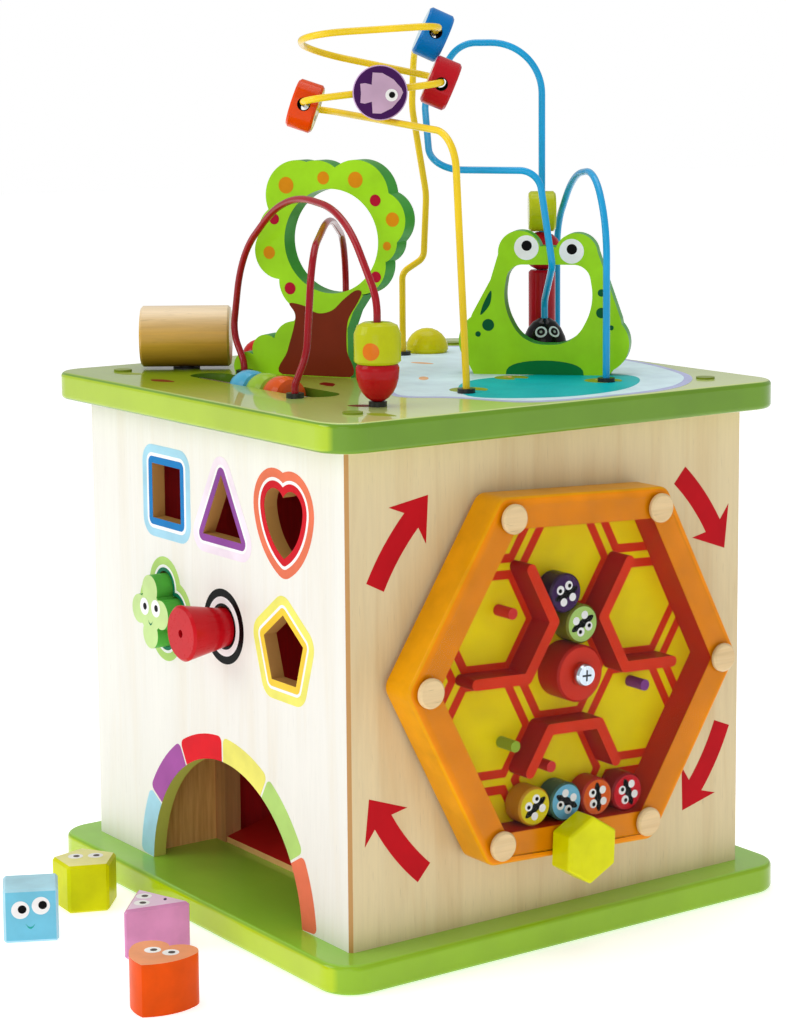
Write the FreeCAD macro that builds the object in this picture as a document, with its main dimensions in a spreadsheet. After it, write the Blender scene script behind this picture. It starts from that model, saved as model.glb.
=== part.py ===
"""Wooden activity cube: shape sorter side, turning honeycomb maze side and a bead-wire top.

Millimetres, +Z up. The origin is the middle of the base plate's underside. The sorter panel
faces -Y and the maze panel faces +X.
"""
import FreeCAD, Part
import math
import os
import re
import Sketcher
from FreeCAD import Placement, Rotation, Vector

SIZES = [
    # plates and box
    ("base_width", 350), ("base_thick", 18), ("base_corner", 22),
    ("top_width", 345), ("top_thick", 18), ("top_corner", 22), ("plate_round", 3),
    ("box_width", 306), ("box_height", 299), ("panel_thick", 9), ("mitre_chamfer", 2),
    ("batten_side", 15), ("screw_radius", 3), ("screw_head_radius", 6), ("screw_head_rise", 1.2),
    # sorter holes: places on the panel, measured from the box's middle and the table
    ("shape_gap", 0.8), ("seat_gap", 0.3), ("block_length", 31), ("block_round", 1.6),
    ("upper_row", 265), ("lower_row", 189),
    ("left_column", -53), ("middle_column", 15), ("right_column", 86),
    ("square_side", 34), ("triangle_radius", 25), ("heart_lobe", 11), ("heart_spread", 9.4),
    ("heart_side", 36), ("heart_rise", 8.5), ("heart_drop", 20.5), ("pentagon_radius", 22),
    ("petal_radius", 9.5), ("petal_reach", 13.5), ("petal_rise", 14.5),
    ("round_radius", 17.5), ("round_neck", 12), ("round_length", 50), ("round_dimple", 2.5),
    ("flower_out", 11.5), ("round_out", 31),
    # doorway and what is behind it
    ("arch_radius", 90), ("arch_middle", 11), ("arch_foot", -5.5),
    ("side_wall_place", -90), ("back_wall_place", 20), ("board_thick", 6),
    ("post_side", 12), ("post_place", -86), ("post_rise", 120), ("ramp_front", -97), ("ramp_rise", 32),
    # honeycomb maze wheel
    ("wheel_across", -2.5), ("wheel_height", 170), ("wheel_turn", -2.6), ("wheel_gap", 4),
    ("wheel_radius", 128), ("wheel_inner_radius", 106), ("wheel_depth", 24), ("wheel_corner", 9),
    ("wheel_round", 2.5), ("back_thick", 4), ("board_seat", 4), ("cover_thick", 2), ("cover_inset", 5),
    ("cap_radius", 9), ("cap_rise", 3), ("cap_place", 113.5), ("cap_edge", 1.2),
    ("cap_pin_radius", 3), ("cap_pin_length", 14), ("hub_radius", 17.5), ("bolt_radius", 4),
    ("bolt_play", 0.08), ("bolt_head_radius", 7), ("bolt_head_rise", 4), ("washer_radius", 13),
    ("nut_radius", 9), ("nut_thick", 7), ("cell_side", 38), ("maze_wall", 7), ("wall_trim", 0.88),
    ("maze_wall_top", 3), ("peg_radius", 3.5), ("peg_top", 5), ("knob_radius", 21),
    ("knob_place", 105), ("knob_rise", 16), ("knob_round", 2),
    ("puck_radius", 12), ("puck_length", 15), ("puck_row", 44.5), ("puck_edge", 1.2), ("puck_gap", 1),
    ("puck_across", 3.4),
    # flat figures on the deck
    ("figure_thick", 15), ("tree_hole_radius", 33.7), ("tree_hole_rise", 88.3), ("tree_turn", 30),
    ("frog_turn", 44), ("frog_mouth_half", 30.2), ("frog_mouth_low", 20), ("frog_mouth_wide", 46),
    ("frog_mouth_high", 72), ("frog_chin_bend", 23), ("frog_cheek_bend", 38), ("frog_lip_bend", 11),
    ("frog_mouth_shift", 1.8), ("frog_eye", 14),
    ("frog_foot", 19), ("frog_head", 34),
    # wires
    ("wire_radius", 2.25), ("wire_set", 12), ("knee_rise", 8), ("knee_bend", 12),
    ("ferrule_radius", 5.5), ("ferrule_rise", 3), ("ferrule_gap", 0.35),
    ("bore_play", 1.4), ("diagonal_turn", 55), ("coil_half_depth", 34), ("coil_middle", 5),
    ("coil_left", -64), ("coil_right", 22), ("coil_bend", 14), ("coil_turn", 30), ("far_leg", -115.7),
    # beads
    ("disc_radius", 16), ("disc_width", 17), ("fish_radius", 17.3), ("fish_width", 12),
    ("bead_edge", 1.5),
    ("stack_radius", 9), ("barrel_length", 61), ("red_bead_radius", 13), ("lime_disc_radius", 13.5),
    ("lime_disc_width", 18), ("ladybug_radius", 15.8), ("ladybug_rise", 31), ("acorn_radius", 13),
    ("acorn_rise", 22), ("acorn_cap_radius", 14), ("acorn_cap_rise", 24.5),
    # deck slot with the three crawling beads
    ("slot_left", -92), ("slot_right", 62), ("slot_middle", -103), ("slot_half", 13.6),
    ("crawler_radius", 12.8), ("crawler_length", 19), ("crawler_pitch", 20), ("crawler_first", -30),
    ("crawler_sink", 5), ("rod_radius", 2.5), ("rod_hold", 10),
    # log, domes
    ("log_radius", 20.5), ("log_length", 60), ("log_clear", 1.2), ("dowel_radius", 5), ("collar_radius", 9),
    ("dowel_play", 0.08), ("dowel_reach", 16), ("red_dome_radius", 12), ("yellow_dome_radius", 15),
    ("dome_foot", 2.5),
]
NAMES = {name for name, _ in SIZES}

doc = FreeCAD.newDocument("ActivityCube")
sheet = doc.addObject("Spreadsheet::Sheet", "Sizes")
for row, (name, value) in enumerate(SIZES, start=1):
    sheet.set("A%d" % row, name)
    sheet.set("B%d" % row, str(value))
    sheet.setAlias("B%d" % row, name)
doc.recompute()

UP = Vector(0, 0, 1)
SUBPARTS = []


def size(name):
    return float(getattr(sheet, name))


def swap_names(text, written):
    """The formula with each size's name written another way."""
    return re.sub(r"[A-Za-z_]\w*", lambda w: written(w.group()) if w.group() in NAMES else w.group(), text)


def formula(text):
    return swap_names(text, lambda name: "Sizes." + name)


def bind(obj, prop, text):
    obj.setExpression(prop, formula(str(text)))


def keep(obj, name):
    """Make an object one of the toy's pieces, under the name of its file."""
    obj.Label = name
    SUBPARTS.append(obj)
    return obj


def at(obj, x, y, z):
    for axis, text in zip("xyz", (x, y, z)):
        bind(obj, "Placement.Base." + axis, text)
    return obj


def box(name, length, width, height, x=0, y=0, z=0):
    obj = doc.addObject("Part::Box", name)
    bind(obj, "Length", length)
    bind(obj, "Width", width)
    bind(obj, "Height", height)
    return at(obj, x, y, z)


def cylinder(name, radius, height, x=0, y=0, z=0, turn=None):
    obj = doc.addObject("Part::Cylinder", name)
    if turn:
        obj.Placement = Placement(Vector(), turn)
    bind(obj, "Radius", radius)
    bind(obj, "Height", height)
    return at(obj, x, y, z)


def prism(name, sides, radius, height, x=0, y=0, z=0, angle=0):
    obj = doc.addObject("Part::Prism", name)
    obj.Placement = Placement(Vector(), Rotation(UP, angle))
    obj.Polygon = sides
    bind(obj, "Circumradius", radius)
    bind(obj, "Height", height)
    return at(obj, x, y, z)


def cut(name, base, *tools):
    obj = doc.addObject("Part::Cut", name)
    obj.Base = base
    obj.Tool = tools[0] if len(tools) == 1 else fuse(name + "_tools", *tools)
    return obj


def fuse(name, *shapes):
    obj = doc.addObject("Part::MultiFuse", name)
    obj.Shapes = list(shapes)
    return obj


def gather(name, *shapes):
    """Several loose solids of the same kind in one piece file."""
    obj = doc.addObject("Part::Compound", name)
    obj.Links = list(shapes)
    return obj


def edged(kind, name, base, reach, choose):
    doc.recompute()
    obj = doc.addObject(kind, name)
    obj.Base = base
    value = size(reach)
    picked = [i for i, edge in enumerate(base.Shape.Edges, start=1) if choose(edge)]
    obj.Edges = [(i, value, value) for i in picked]
    return obj


def rounded(name, base, radius, choose=lambda edge: True):
    """The base object with its chosen edges rounded."""
    return edged("Part::Fillet", name, base, radius, choose)


def bevelled(name, base, reach, choose=lambda edge: edge.Length > 1e-6 and len(edge.Vertexes) == 1):
    """The base object with its chosen edges cut at 45 degrees; a turned piece's two rims by default."""
    return edged("Part::Chamfer", name, base, reach, choose)


def new_body(name):
    return doc.addObject("PartDesign::Body", name)


def sketch_on(body, plane, name):
    sketch = body.newObject("Sketcher::SketchObject", name)
    origin = next(f for f in body.Origin.OriginFeatures if f.Role == plane)
    sketch.AttachmentSupport = [(origin, "")]
    sketch.MapMode = "FlatFace"
    return sketch


def polygon_sketch(body, plane, name, points):
    """Closed polygon; every corner's coordinates are formulas of the sheet."""
    sketch = sketch_on(body, plane, name)
    values = [(doc_value(x), doc_value(y)) for x, y in points]
    count = len(points)
    for i in range(count):
        start = Vector(*values[i], 0)
        end = Vector(*values[(i + 1) % count], 0)
        sketch.addGeometry(Part.LineSegment(start, end), False)
    for i in range(count):
        sketch.addConstraint(Sketcher.Constraint("Coincident", i, 2, (i + 1) % count, 1))
    for i, (x, y) in enumerate(points):
        for kind, text, value in (("DistanceX", x, values[i][0]), ("DistanceY", y, values[i][1])):
            number = sketch.addConstraint(Sketcher.Constraint(kind, -1, 1, i, 1, value))
            sketch.setExpression("Constraints[%d]" % number, formula(str(text)))
    return sketch


def doc_value(text):
    """The number that a formula gives now, used as a sketch's first guess."""
    if isinstance(text, (int, float)):
        return float(text)
    return float(FreeCAD.Units.Quantity(swap_names(text, lambda name: repr(size(name)))).Value)


def pad(body, sketch, name, length, middle=False):
    feature = body.newObject("PartDesign::Pad", name)
    feature.Profile = sketch
    feature.Midplane = middle
    bind(feature, "Length", length)
    return feature


def revolve(body, sketch, name):
    feature = body.newObject("PartDesign::Revolution", name)
    feature.Profile = sketch
    feature.ReferenceAxis = (sketch, ["V_Axis"])
    feature.Angle = 360
    return feature


def body_fillet(body, feature, name, radius, choose):
    doc.recompute()
    edges = ["Edge%d" % i for i, edge in enumerate(feature.Shape.Edges, start=1) if choose(edge)]
    fillet = body.newObject("PartDesign::Fillet", name)
    fillet.Base = (feature, edges)
    bind(fillet, "Radius", radius)
    return fillet


def turned(name, profile):
    """A lathe-turned piece about its own Z axis: corners as (radius, height) formulas."""
    body = new_body(name)
    sketch = polygon_sketch(body, "XZ_Plane", name + "_profile", profile)
    revolve(body, sketch, name + "_turning")
    return body


def upright(edge):
    line = edge.Vertexes[-1].Point - edge.Vertexes[0].Point
    return line.Length > 1e-6 and abs(line.normalize().dot(UP)) > 0.999


def level_at(*heights):
    return lambda edge: any(
        all(abs(v.Point.z - height) < 1e-6 for v in edge.Vertexes) for height in heights)


# ---------------------------------------------------------------- plates and box
DECK = "(base_thick + box_height + top_thick)"
CEILING = "(base_thick + box_height)"


def square_points(half):
    return [("-" + half, "-" + half), (half, "-" + half), (half, half), ("-" + half, half)]


def plate(name, width, thick, corner):
    body = new_body(name)
    half = "(%s / 2)" % width
    sketch = polygon_sketch(body, "XY_Plane", name + "_outline", square_points(half))
    slab = pad(body, sketch, name + "_slab", thick)
    corners = body_fillet(body, slab, name + "_corners", corner, upright)
    body_fillet(body, corners, name + "_rims", "plate_round", level_at(0, size(thick)))
    return body


def panel(name, quarter_turns):
    """A mitred side panel, standing on the base; turned about Z to its side of the box."""
    body = new_body(name)
    half = "(box_width / 2)"
    outer = "(box_width / 2 - mitre_chamfer)"
    lip = "(box_width / 2 - mitre_chamfer / 2)"
    inner = "(box_width / 2 - panel_thick)"
    points = [("-" + outer, "-" + half), (outer, "-" + half), (lip, "-" + lip),
              (inner, "-" + inner), ("-" + inner, "-" + inner), ("-" + lip, "-" + lip)]
    sketch = polygon_sketch(body, "XY_Plane", name + "_section", points)
    pad(body, sketch, name + "_board", "box_height")
    body.Placement = Placement(Vector(), Rotation(UP, 90 * quarter_turns))
    return at(body, 0, 0, "base_thick")


# ---------------------------------------------------------------- sorter shapes
ON_SORTER = Rotation(Vector(1, 0, 0), 90)


def square_shape(name, grow, length):
    return prism(name, 4, "(square_side / 2 + %s) * sqrt(2)" % grow, length, angle=45)


def triangle_shape(name, grow, length):
    return prism(name, 3, "triangle_radius + 2 * %s" % grow, length, angle=90)


def pentagon_shape(name, grow, length):
    return prism(name, 5, "pentagon_radius + %s / cos(36)" % grow, length, angle=90)


def round_shape(name, grow, length):
    return cylinder(name, "round_neck + %s" % grow, length)


def heart_shape(name, grow, length):
    """Two round lobes whose outsides run on as two large arcs that meet in the tip."""
    outset = size(grow) if grow in NAMES else 0.0
    lobe, side = size("heart_lobe"), size("heart_side")
    centre = Vector(size("heart_spread"), size("heart_rise"), 0)
    tip = Vector(0, -size("heart_drop"), 0)
    down = tip - centre
    rest = side - lobe
    turn = math.acos((side ** 2 - down.Length ** 2 - rest ** 2) / (2 * rest * down.Length))
    heading = math.atan2(down.y, down.x) + turn
    outward = Vector(math.cos(heading), math.sin(heading), 0)
    far = centre - outward * rest
    touch = centre + outward * (lobe + outset)
    low = Vector(0, far.y - math.sqrt((side + outset) ** 2 - far.x ** 2), 0)
    cleft = Vector(0, centre.y + math.sqrt((lobe + outset) ** 2 - centre.x ** 2), 0)
    top = centre + Vector(0.3, 1, 0).normalize() * (lobe + outset)
    bulge = far + (touch + low - far * 2).normalize() * (side + outset)

    def arc(*points):
        return Part.Arc(*points).toShape()

    def flip(point):
        return Vector(-point.x, point.y, 0)
    outline = Part.Wire([arc(cleft, top, touch), arc(touch, bulge, low),
                         arc(low, flip(bulge), flip(touch)), arc(flip(touch), flip(top), cleft)])
    heart = doc.addObject("Part::Feature", name)
    heart.Shape = Part.Face(outline).extrude(UP * doc_value(length))
    return heart


def flower_shape(name, grow, length):
    """Four petals round a middle, a little taller than wide."""
    radius = "petal_radius + %s" % grow
    middle = cylinder(name + "_middle", "petal_reach + %s" % grow, length)
    petals = []
    for i, (across, rise) in enumerate((("petal_reach", 0), ("-petal_reach", 0), (0, "petal_rise"),
                                        (0, "-petal_rise"))):
        petals.append(cylinder("%s_petal_%d" % (name, i), radius, length, across, rise))
    return fuse(name, middle, *petals)


SORTER = {
    "square": (square_shape, "left_column", "upper_row"),
    "triangle": (triangle_shape, "middle_column", "upper_row - 6"),
    "heart": (heart_shape, "right_column", "upper_row"),
    "flower": (flower_shape, "left_column - 4", "lower_row"),
    "round": (round_shape, "middle_column", "lower_row + 1"),
    "pentagon": (pentagon_shape, "right_column - 2", "lower_row - 3"),
}


def sorter_place(obj, column, row, out):
    """Put a shape made about local Z on the sorter side; local z=0 ends `out` in front."""
    obj.Placement = Placement(Vector(), ON_SORTER.multiply(obj.Placement.Rotation))
    return at(obj, column, out, row)


def sorter_holes():
    tools = []
    for name, (shape, column, row) in SORTER.items():
        tool = shape(name + "_hole", "shape_gap", "3 * panel_thick")
        tools.append(sorter_place(tool, column, row, "-box_width / 2 + 2 * panel_thick"))
    arch = cylinder("doorway", "arch_radius", "3 * panel_thick")
    arch.Placement = Placement(Vector(), ON_SORTER)
    tools.append(at(arch, "arch_middle", "-box_width / 2 + 2 * panel_thick", "base_thick + arch_foot"))
    return tools


# ---------------------------------------------------------------- maze wheel
ON_MAZE = Rotation(Vector(0, 1, 0), Vector(0, 0, 1), Vector(1, 0, 0), "ZXY")
WHEEL = Placement(
    Vector(size("box_width") / 2 + size("wheel_gap"), size("wheel_across"), size("wheel_height")),
    ON_MAZE.multiply(Rotation(UP, size("wheel_turn"))))


def on_wheel(obj, x=0, y=0, z=0):
    """Place a piece made in the wheel's own frame: x across, y up, z out of the panel."""
    obj.Placement = WHEEL.multiply(Placement(Vector(x, y, z), obj.Placement.Rotation))
    return obj


def bar(name, start, end, width, height):
    """A round-ended bar between two points of the wheel's plane."""
    line = end - start
    slab = doc.addObject("Part::Box", name + "_slab")
    slab.Length = line.Length
    bind(slab, "Width", width)
    bind(slab, "Height", height)
    turn = Rotation(UP, math.degrees(math.atan2(line.y, line.x)))
    slab.Placement = Placement(start - turn.multVec(Vector(0, doc_value(width) / 2, 0)), turn)
    ends = [cylinder("%s_end_%d" % (name, i), "%s / 2" % width, height, p.x, p.y)
            for i, p in enumerate((start, end))]
    return [slab] + ends


def maze_walls():
    side = size("cell_side")
    high = side * math.sqrt(3) / 2
    left = [(-side, 2 * high), (-side / 2, high), (-side, 0), (-2 * side, 0)]
    right = [(-x, y) for x, y in left]
    foot = size("wall_trim")
    low = [(-side * foot, -2 * high * foot), (-side / 2, -high), (side / 2, -high),
           (side * foot, -2 * high * foot)]
    height = "wheel_depth - back_thick - maze_wall_top"
    walls = []
    for w, corners in enumerate((left, right, low)):
        points = [Vector(x, y, 0) for x, y in corners]
        pieces = []
        for i in range(3):
            pieces += bar("wall_%d_%d" % (w, i), points[i], points[i + 1], "maze_wall", height)
        walls.append(fuse("wall_%d" % w, *pieces))
    return gather("maze_walls", *walls)


PEGS = [(-49.5, 40), (56, -13.5), (-44, -41), (-16, -56.5)]
BOLT_BORE = "bolt_radius + bolt_play"


def cap_places():
    """The wheel's six points, and last the knob's place."""
    points = [Rotation(UP, 60 * i).multVec(Vector(size("cap_place"), 0, 0)) for i in range(6)]
    return points + [Vector(0, -size("knob_place"), 0)]


def pin_holes(name, length, z):
    return [cylinder("%s_%d" % (name, i), "cap_pin_radius", length, p.x, p.y, z)
            for i, p in enumerate(cap_places())]


def wheel_frame():
    """A deep ring with rounded points, a seat behind for the backboard and holes for the pins."""
    outer = prism("frame_outer", 6, "wheel_radius", "wheel_depth")
    soft = rounded("frame_outer_soft", outer, "wheel_corner", upright)
    rim = rounded("frame_outer_rim", soft, "wheel_round", level_at(size("wheel_depth")))
    inner = prism("frame_inner", 6, "wheel_inner_radius", "wheel_depth", z="back_thick")
    seat = prism("frame_seat", 6, "wheel_inner_radius + board_seat", "back_thick")
    pins = pin_holes("frame_pin", "cap_pin_length", "wheel_depth - cap_pin_length")
    on_wheel(keep(cut("maze_frame", rim, inner, seat, *pins), "maze_frame"))
    board = prism("board_blank", 6, "wheel_inner_radius + board_seat", "back_thick")
    bore = cylinder("board_bore", BOLT_BORE, "back_thick")
    on_wheel(keep(cut("maze_backboard", board, bore), "maze_backboard"))


def wheel_inside():
    """What stands on the backboard: the hub round the bolt, the walls and the pegs."""
    floor = size("back_thick")
    hub = cylinder("hub_blank", "hub_radius", "wheel_depth - back_thick")
    soft = bevelled("hub_soft", hub, "cap_edge", level_at(size("wheel_depth") - floor))
    bore = cylinder("hub_bore", BOLT_BORE, "wheel_depth")
    on_wheel(keep(cut("maze_hub", soft, bore), "maze_hub"), z=floor)
    on_wheel(keep(maze_walls(), "maze_walls"), z=floor)
    reach = "wheel_depth - back_thick - peg_top"
    pegs = [cylinder("peg_%d" % i, "peg_radius", reach, x, y) for i, (x, y) in enumerate(PEGS)]
    on_wheel(keep(gather("maze_pegs", *pegs), "maze_pegs"), z=floor)


def wheel_cover():
    """The clear cover, held by six wooden caps at the points and the six-sided knob."""
    blank = prism("cover_blank", 6, "wheel_radius - cover_inset", "cover_thick")
    soft = rounded("cover_soft", blank, "wheel_corner", upright)
    holes = pin_holes("cover_hole", "cover_thick", 0) + [cylinder("cover_bore", BOLT_BORE, "cover_thick")]
    on_wheel(keep(cut("maze_cover", soft, *holes), "maze_cover"), z=size("wheel_depth"))

    pins = pin_holes("cap_pin", "cap_pin_length + cover_thick", "-cap_pin_length")
    top = size("cover_thick") + size("cap_rise")
    caps = []
    for i, (place, pin) in enumerate(zip(cap_places()[:6], pins)):
        head = cylinder("cap_head_%d" % i, "cap_radius", "cap_rise", place.x, place.y, "cover_thick")
        caps.append(fuse("cap_%d" % i, bevelled("cap_soft_%d" % i, head, "cap_edge", level_at(top)), pin))
    on_wheel(keep(gather("maze_caps", *caps), "maze_caps"), z=size("wheel_depth"))

    knob = prism("knob_blank", 6, "knob_radius", "knob_rise", 0, "-knob_place", "cover_thick", angle=90)
    soft = rounded("knob_soft", knob, "knob_round", lambda edge: not level_at(size("cover_thick"))(edge))
    on_wheel(keep(fuse("maze_knob", soft, pins[6]), "maze_knob"), z=size("wheel_depth"))


def maze_wheel():
    wheel_frame()
    wheel_inside()
    wheel_cover()


def puck_places():
    """Four pucks lie on the wheel's low side, one rests on the hub and one on it and a wall."""
    gap = size("seat_gap")
    apart = 2 * size("puck_radius") + gap
    low = size("puck_radius") + gap - size("wheel_inner_radius") * math.cos(math.radians(30))
    row = [(size("puck_row") - i * apart, low) for i in range(4)]
    on_hub = size("hub_radius") + size("puck_radius") + gap
    across = size("puck_across")
    lime = Vector(across, math.sqrt(on_hub ** 2 - across ** 2), 0)
    from_wall = size("maze_wall") / 2 + size("puck_radius") + gap
    away = Vector(math.cos(math.radians(30)), math.sin(math.radians(30)), 0)
    lean = math.degrees(math.acos((from_wall - away.dot(lime)) / apart))
    purple = lime + Rotation(UP, 30 + lean).multVec(Vector(apart, 0, 0))
    return {"puck_red": row[0], "puck_orange": row[1], "puck_blue": row[2], "puck_yellow": row[3],
            "puck_lime": (lime.x, lime.y), "puck_purple": (purple.x, purple.y)}


def pucks():
    for name, (x, y) in puck_places().items():
        blank = cylinder(name + "_blank", "puck_radius", "puck_length")
        puck = bevelled(name + "_soft", blank, "puck_edge")
        on_wheel(keep(puck, name), x, y, size("back_thick") + size("puck_gap"))


def maze_axle():
    """Bolt through the panel and the wheel, with a spacing washer and a nut behind."""
    depth = "(wheel_gap + wheel_depth + cover_thick + seat_gap)"
    tail = "(panel_thick + nut_thick + 2)"
    head = "(bolt_radius + 2)"
    bolt = turned("maze_bolt", [
        (0, "-" + tail), ("bolt_radius", "-" + tail), ("bolt_radius", depth),
        ("bolt_head_radius", depth), ("bolt_head_radius", depth + " + bolt_head_rise / 2"),
        (head, depth + " + bolt_head_rise"), (0, depth + " + bolt_head_rise")])
    washer_blank = cylinder("washer_blank", "washer_radius", "wheel_gap - seat_gap")
    washer = cut("maze_washer", washer_blank, cylinder("washer_bore", "bolt_radius", "wheel_gap"))
    nut_blank = prism("nut_blank", 6, "nut_radius", "nut_thick")
    nut = cut("maze_nut", nut_blank, cylinder("nut_bore", "bolt_radius", "nut_thick"))
    for piece, back in ((bolt, 0), (washer, 0), (nut, "-(panel_thick + nut_thick)")):
        piece.Placement = Placement(Vector(), ON_MAZE)
        at(piece, "box_width / 2 + %s" % back, "wheel_across", "wheel_height")
    keep(bolt, "maze_bolt")
    keep(gather("maze_washer_nut", washer, nut), "maze_washer_nut")


def maze_panel_hole():
    hole = cylinder("axle_hole", "bolt_radius", "3 * panel_thick", turn=ON_MAZE)
    return at(hole, "box_width / 2 - 2 * panel_thick", "wheel_across", "wheel_height")


# ---------------------------------------------------------------- wires
def diagonal(along, toward, z):
    """A point in the deck's diagonal frame: along the view-wide diagonal, toward the near corner."""
    angle = math.radians(size("diagonal_turn"))
    return Vector(along * math.cos(angle) + toward * math.sin(angle),
                  along * math.sin(angle) - toward * math.cos(angle), z)


def wire_path(points):
    """Straight runs joined by tangent arcs; points are (place, bend radius)."""
    edges = []
    last = points[0][0]
    for i in range(1, len(points) - 1):
        place, radius = points[i]
        back = (points[i - 1][0] - place).normalize()
        ahead = (points[i + 1][0] - place).normalize()
        half = back.getAngle(ahead) / 2
        reach = radius / math.tan(half)
        start, end = place + back * reach, place + ahead * reach
        inward = (back + ahead).normalize()
        middle = place + inward * (radius / math.sin(half) - radius)
        if (start - last).Length > 1e-3:
            edges.append(Part.LineSegment(last, start).toShape())
        edges.append(Part.Arc(start, middle, end).toShape())
        last = end
    edges.append(Part.LineSegment(last, points[-1][0]).toShape())
    return Part.Wire(edges)


def bent_wire(name, points):
    path = wire_path(points)
    direction = (points[1][0] - points[0][0]).normalize()
    circle = Part.Circle(points[0][0], direction, size("wire_radius"))
    section = Part.Wire([circle.toShape()])
    shell = path.makePipeShell([section], True, False)
    drawn = math.pi * size("wire_radius") ** 2 * path.Length
    if abs(shell.Volume - drawn) > 0.02 * drawn:
        raise ValueError("%s: bent volume %.0f, drawn %.0f" % (name, shell.Volume, drawn))
    obj = doc.addObject("Part::Feature", name)
    obj.Shape = shell
    return keep(obj, name)


DECK_Z = size("base_thick") + size("box_height") + size("top_thick")
ROOT_Z = DECK_Z - size("wire_set")

FEET = {
    "yellow_near": diagonal(35, 99, ROOT_Z), "yellow_far": diagonal(-3, size("far_leg"), ROOT_Z),
    "tall_back": diagonal(90.3, -50, ROOT_Z), "tall_mouth": diagonal(90.5, -24, ROOT_Z),
    "short_near": diagonal(125.3, 49, ROOT_Z), "short_far": diagonal(102, -74, ROOT_Z),
    "big_left": Vector(-70, -82.5, ROOT_Z), "big_right": Vector(118, -106, ROOT_Z),
    "small_near": Vector(54, -123, ROOT_Z), "small_far": diagonal(-41.5, -66, ROOT_Z),
}


def knee(foot):
    """Where a leaning leg bends out of its upright foot, just over the ferrule."""
    place = FEET[foot]
    return (Vector(place.x, place.y, DECK_Z + size("knee_rise")), size("knee_bend"))


def coil_corners():
    """The yellow coil and a half that climbs over the deck, from its low far end up."""
    left, right = size("coil_left"), size("coil_right")
    near = size("coil_middle") + size("coil_half_depth")
    far = size("coil_middle") - size("coil_half_depth")
    bend, turn = size("coil_bend"), size("coil_turn")
    return [(diagonal(left + 15, far - 4, DECK_Z + 171), 0.8 * bend),
            (diagonal(left, far - 4, DECK_Z + 173), 0.8 * bend),
            (diagonal(left - 2, near, DECK_Z + 179), bend), (diagonal(right, near, DECK_Z + 189), bend),
            (diagonal(right, far, DECK_Z + 192), bend), (diagonal(left - 3, far, DECK_Z + 211), turn),
            (diagonal(left - 3, near, DECK_Z + 220), turn), (diagonal(right, near, DECK_Z + 225), bend),
            (diagonal(6, size("far_leg"), DECK_Z + 211), 15)]


def yellow_points():
    """The near leg, the coil, and the far leg with its double bend."""
    deep = size("far_leg")
    return [(FEET["yellow_near"], 0), knee("yellow_near"), (diagonal(28.5, 98, DECK_Z + 159), 24),
            *coil_corners(), (diagonal(4.5, deep, DECK_Z + 172), 60),
            (diagonal(14, deep, DECK_Z + 112), 50), (diagonal(12, deep, DECK_Z + 68), 9),
            (diagonal(-3, deep, DECK_Z + 58), 9), (FEET["yellow_far"], 0)]


def tall_points():
    """Over the frog's back, down in front of its forehead and in through its mouth."""
    return [(FEET["tall_back"], 0), (diagonal(90.3, -50, DECK_Z + 215), 34),
            (diagonal(36, -48, DECK_Z + 215), 20), (diagonal(12, -46, DECK_Z + 180), 26),
            (diagonal(15, 12, DECK_Z + 134), 24), (diagonal(84, 20, DECK_Z + 133), 14),
            (diagonal(93, 19, DECK_Z + 72), 9), (diagonal(90.5, -24, DECK_Z + 46), 9),
            (FEET["tall_mouth"], 0)]


def arch_corners(near, far, shape):
    """Corners in the upright plane of an arch's two feet: (share of the span, rise, bend)."""
    start = FEET[near]
    span = FEET[far] - start
    return [(Vector(start.x + span.x * share, start.y + span.y * share, DECK_Z + rise), bend)
            for share, rise, bend in shape]


def short_points():
    shape = [(0, 99, 58), (0.227, 133, 41), (0.654, 129, 76), (1, 93, 36)]
    return [(FEET["short_near"], 0)] + arch_corners("short_near", "short_far", shape) + [
        (FEET["short_far"], 0)]


def big_points():
    shape = [(-0.088, 26, 18), (-0.013, 79, 66), (0.352, 122, 112), (0.779, 113.5, 76), (1, 64, 26)]
    return [(FEET["big_left"], 0), knee("big_left")] + arch_corners("big_left", "big_right", shape) + [
        (FEET["big_right"], 0)]


def small_points():
    """Up from the near corner, through the tree's opening and down behind it."""
    return [(FEET["small_near"], 0), knee("small_near"), (diagonal(-62.5, 113, DECK_Z + 26), 50),
            (diagonal(-58.5, 112, DECK_Z + 88), 28), (diagonal(-50, 28, DECK_Z + 106), 150),
            (diagonal(-41.5, -66, DECK_Z + 84), 40), (FEET["small_far"], 0)]


def wires():
    bent_wire("yellow_wire", yellow_points())
    bent_wire("blue_tall_wire", tall_points())
    bent_wire("blue_short_wire", short_points())
    bent_wire("red_big_wire", big_points())
    bent_wire("red_small_wire", small_points())


def ferrules():
    rings = []
    for name, foot in FEET.items():
        place = (foot.x, foot.y, DECK)
        ring = cylinder("ferrule_" + name, "ferrule_radius", "ferrule_rise", *place)
        hole = cylinder("ferrule_hole_" + name, "wire_radius + ferrule_gap", "ferrule_rise", *place)
        rings.append(cut("ferrule_ring_" + name, ring, hole))
    keep(gather("wire_ferrules", *rings), "wire_ferrules")


# ---------------------------------------------------------------- beads
def drilled_disc(name, radius, width, bore):
    """A disc about local X, drilled right through its rim along local Y."""
    blank = cylinder(name + "_blank", radius, width, "-%s / 2" % width, turn=Rotation(Vector(0, 1, 0), 90))
    soft = bevelled(name + "_soft", blank, "bead_edge")
    hole = cylinder(name + "_hole", bore, "4 * " + radius, 0, "-2 * " + radius,
                    turn=Rotation(Vector(1, 0, 0), -90))
    return cut(name, soft, hole)


def place_on(obj, centre, wire_direction, face_direction):
    """Local Y goes along the wire, local X as near as can be to face_direction."""
    y = Vector(wire_direction).normalize()
    z = Vector(face_direction).cross(y).normalize()
    x = y.cross(z)
    obj.Placement = Placement(centre, Rotation(x, y, z, "YZX"))


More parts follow.
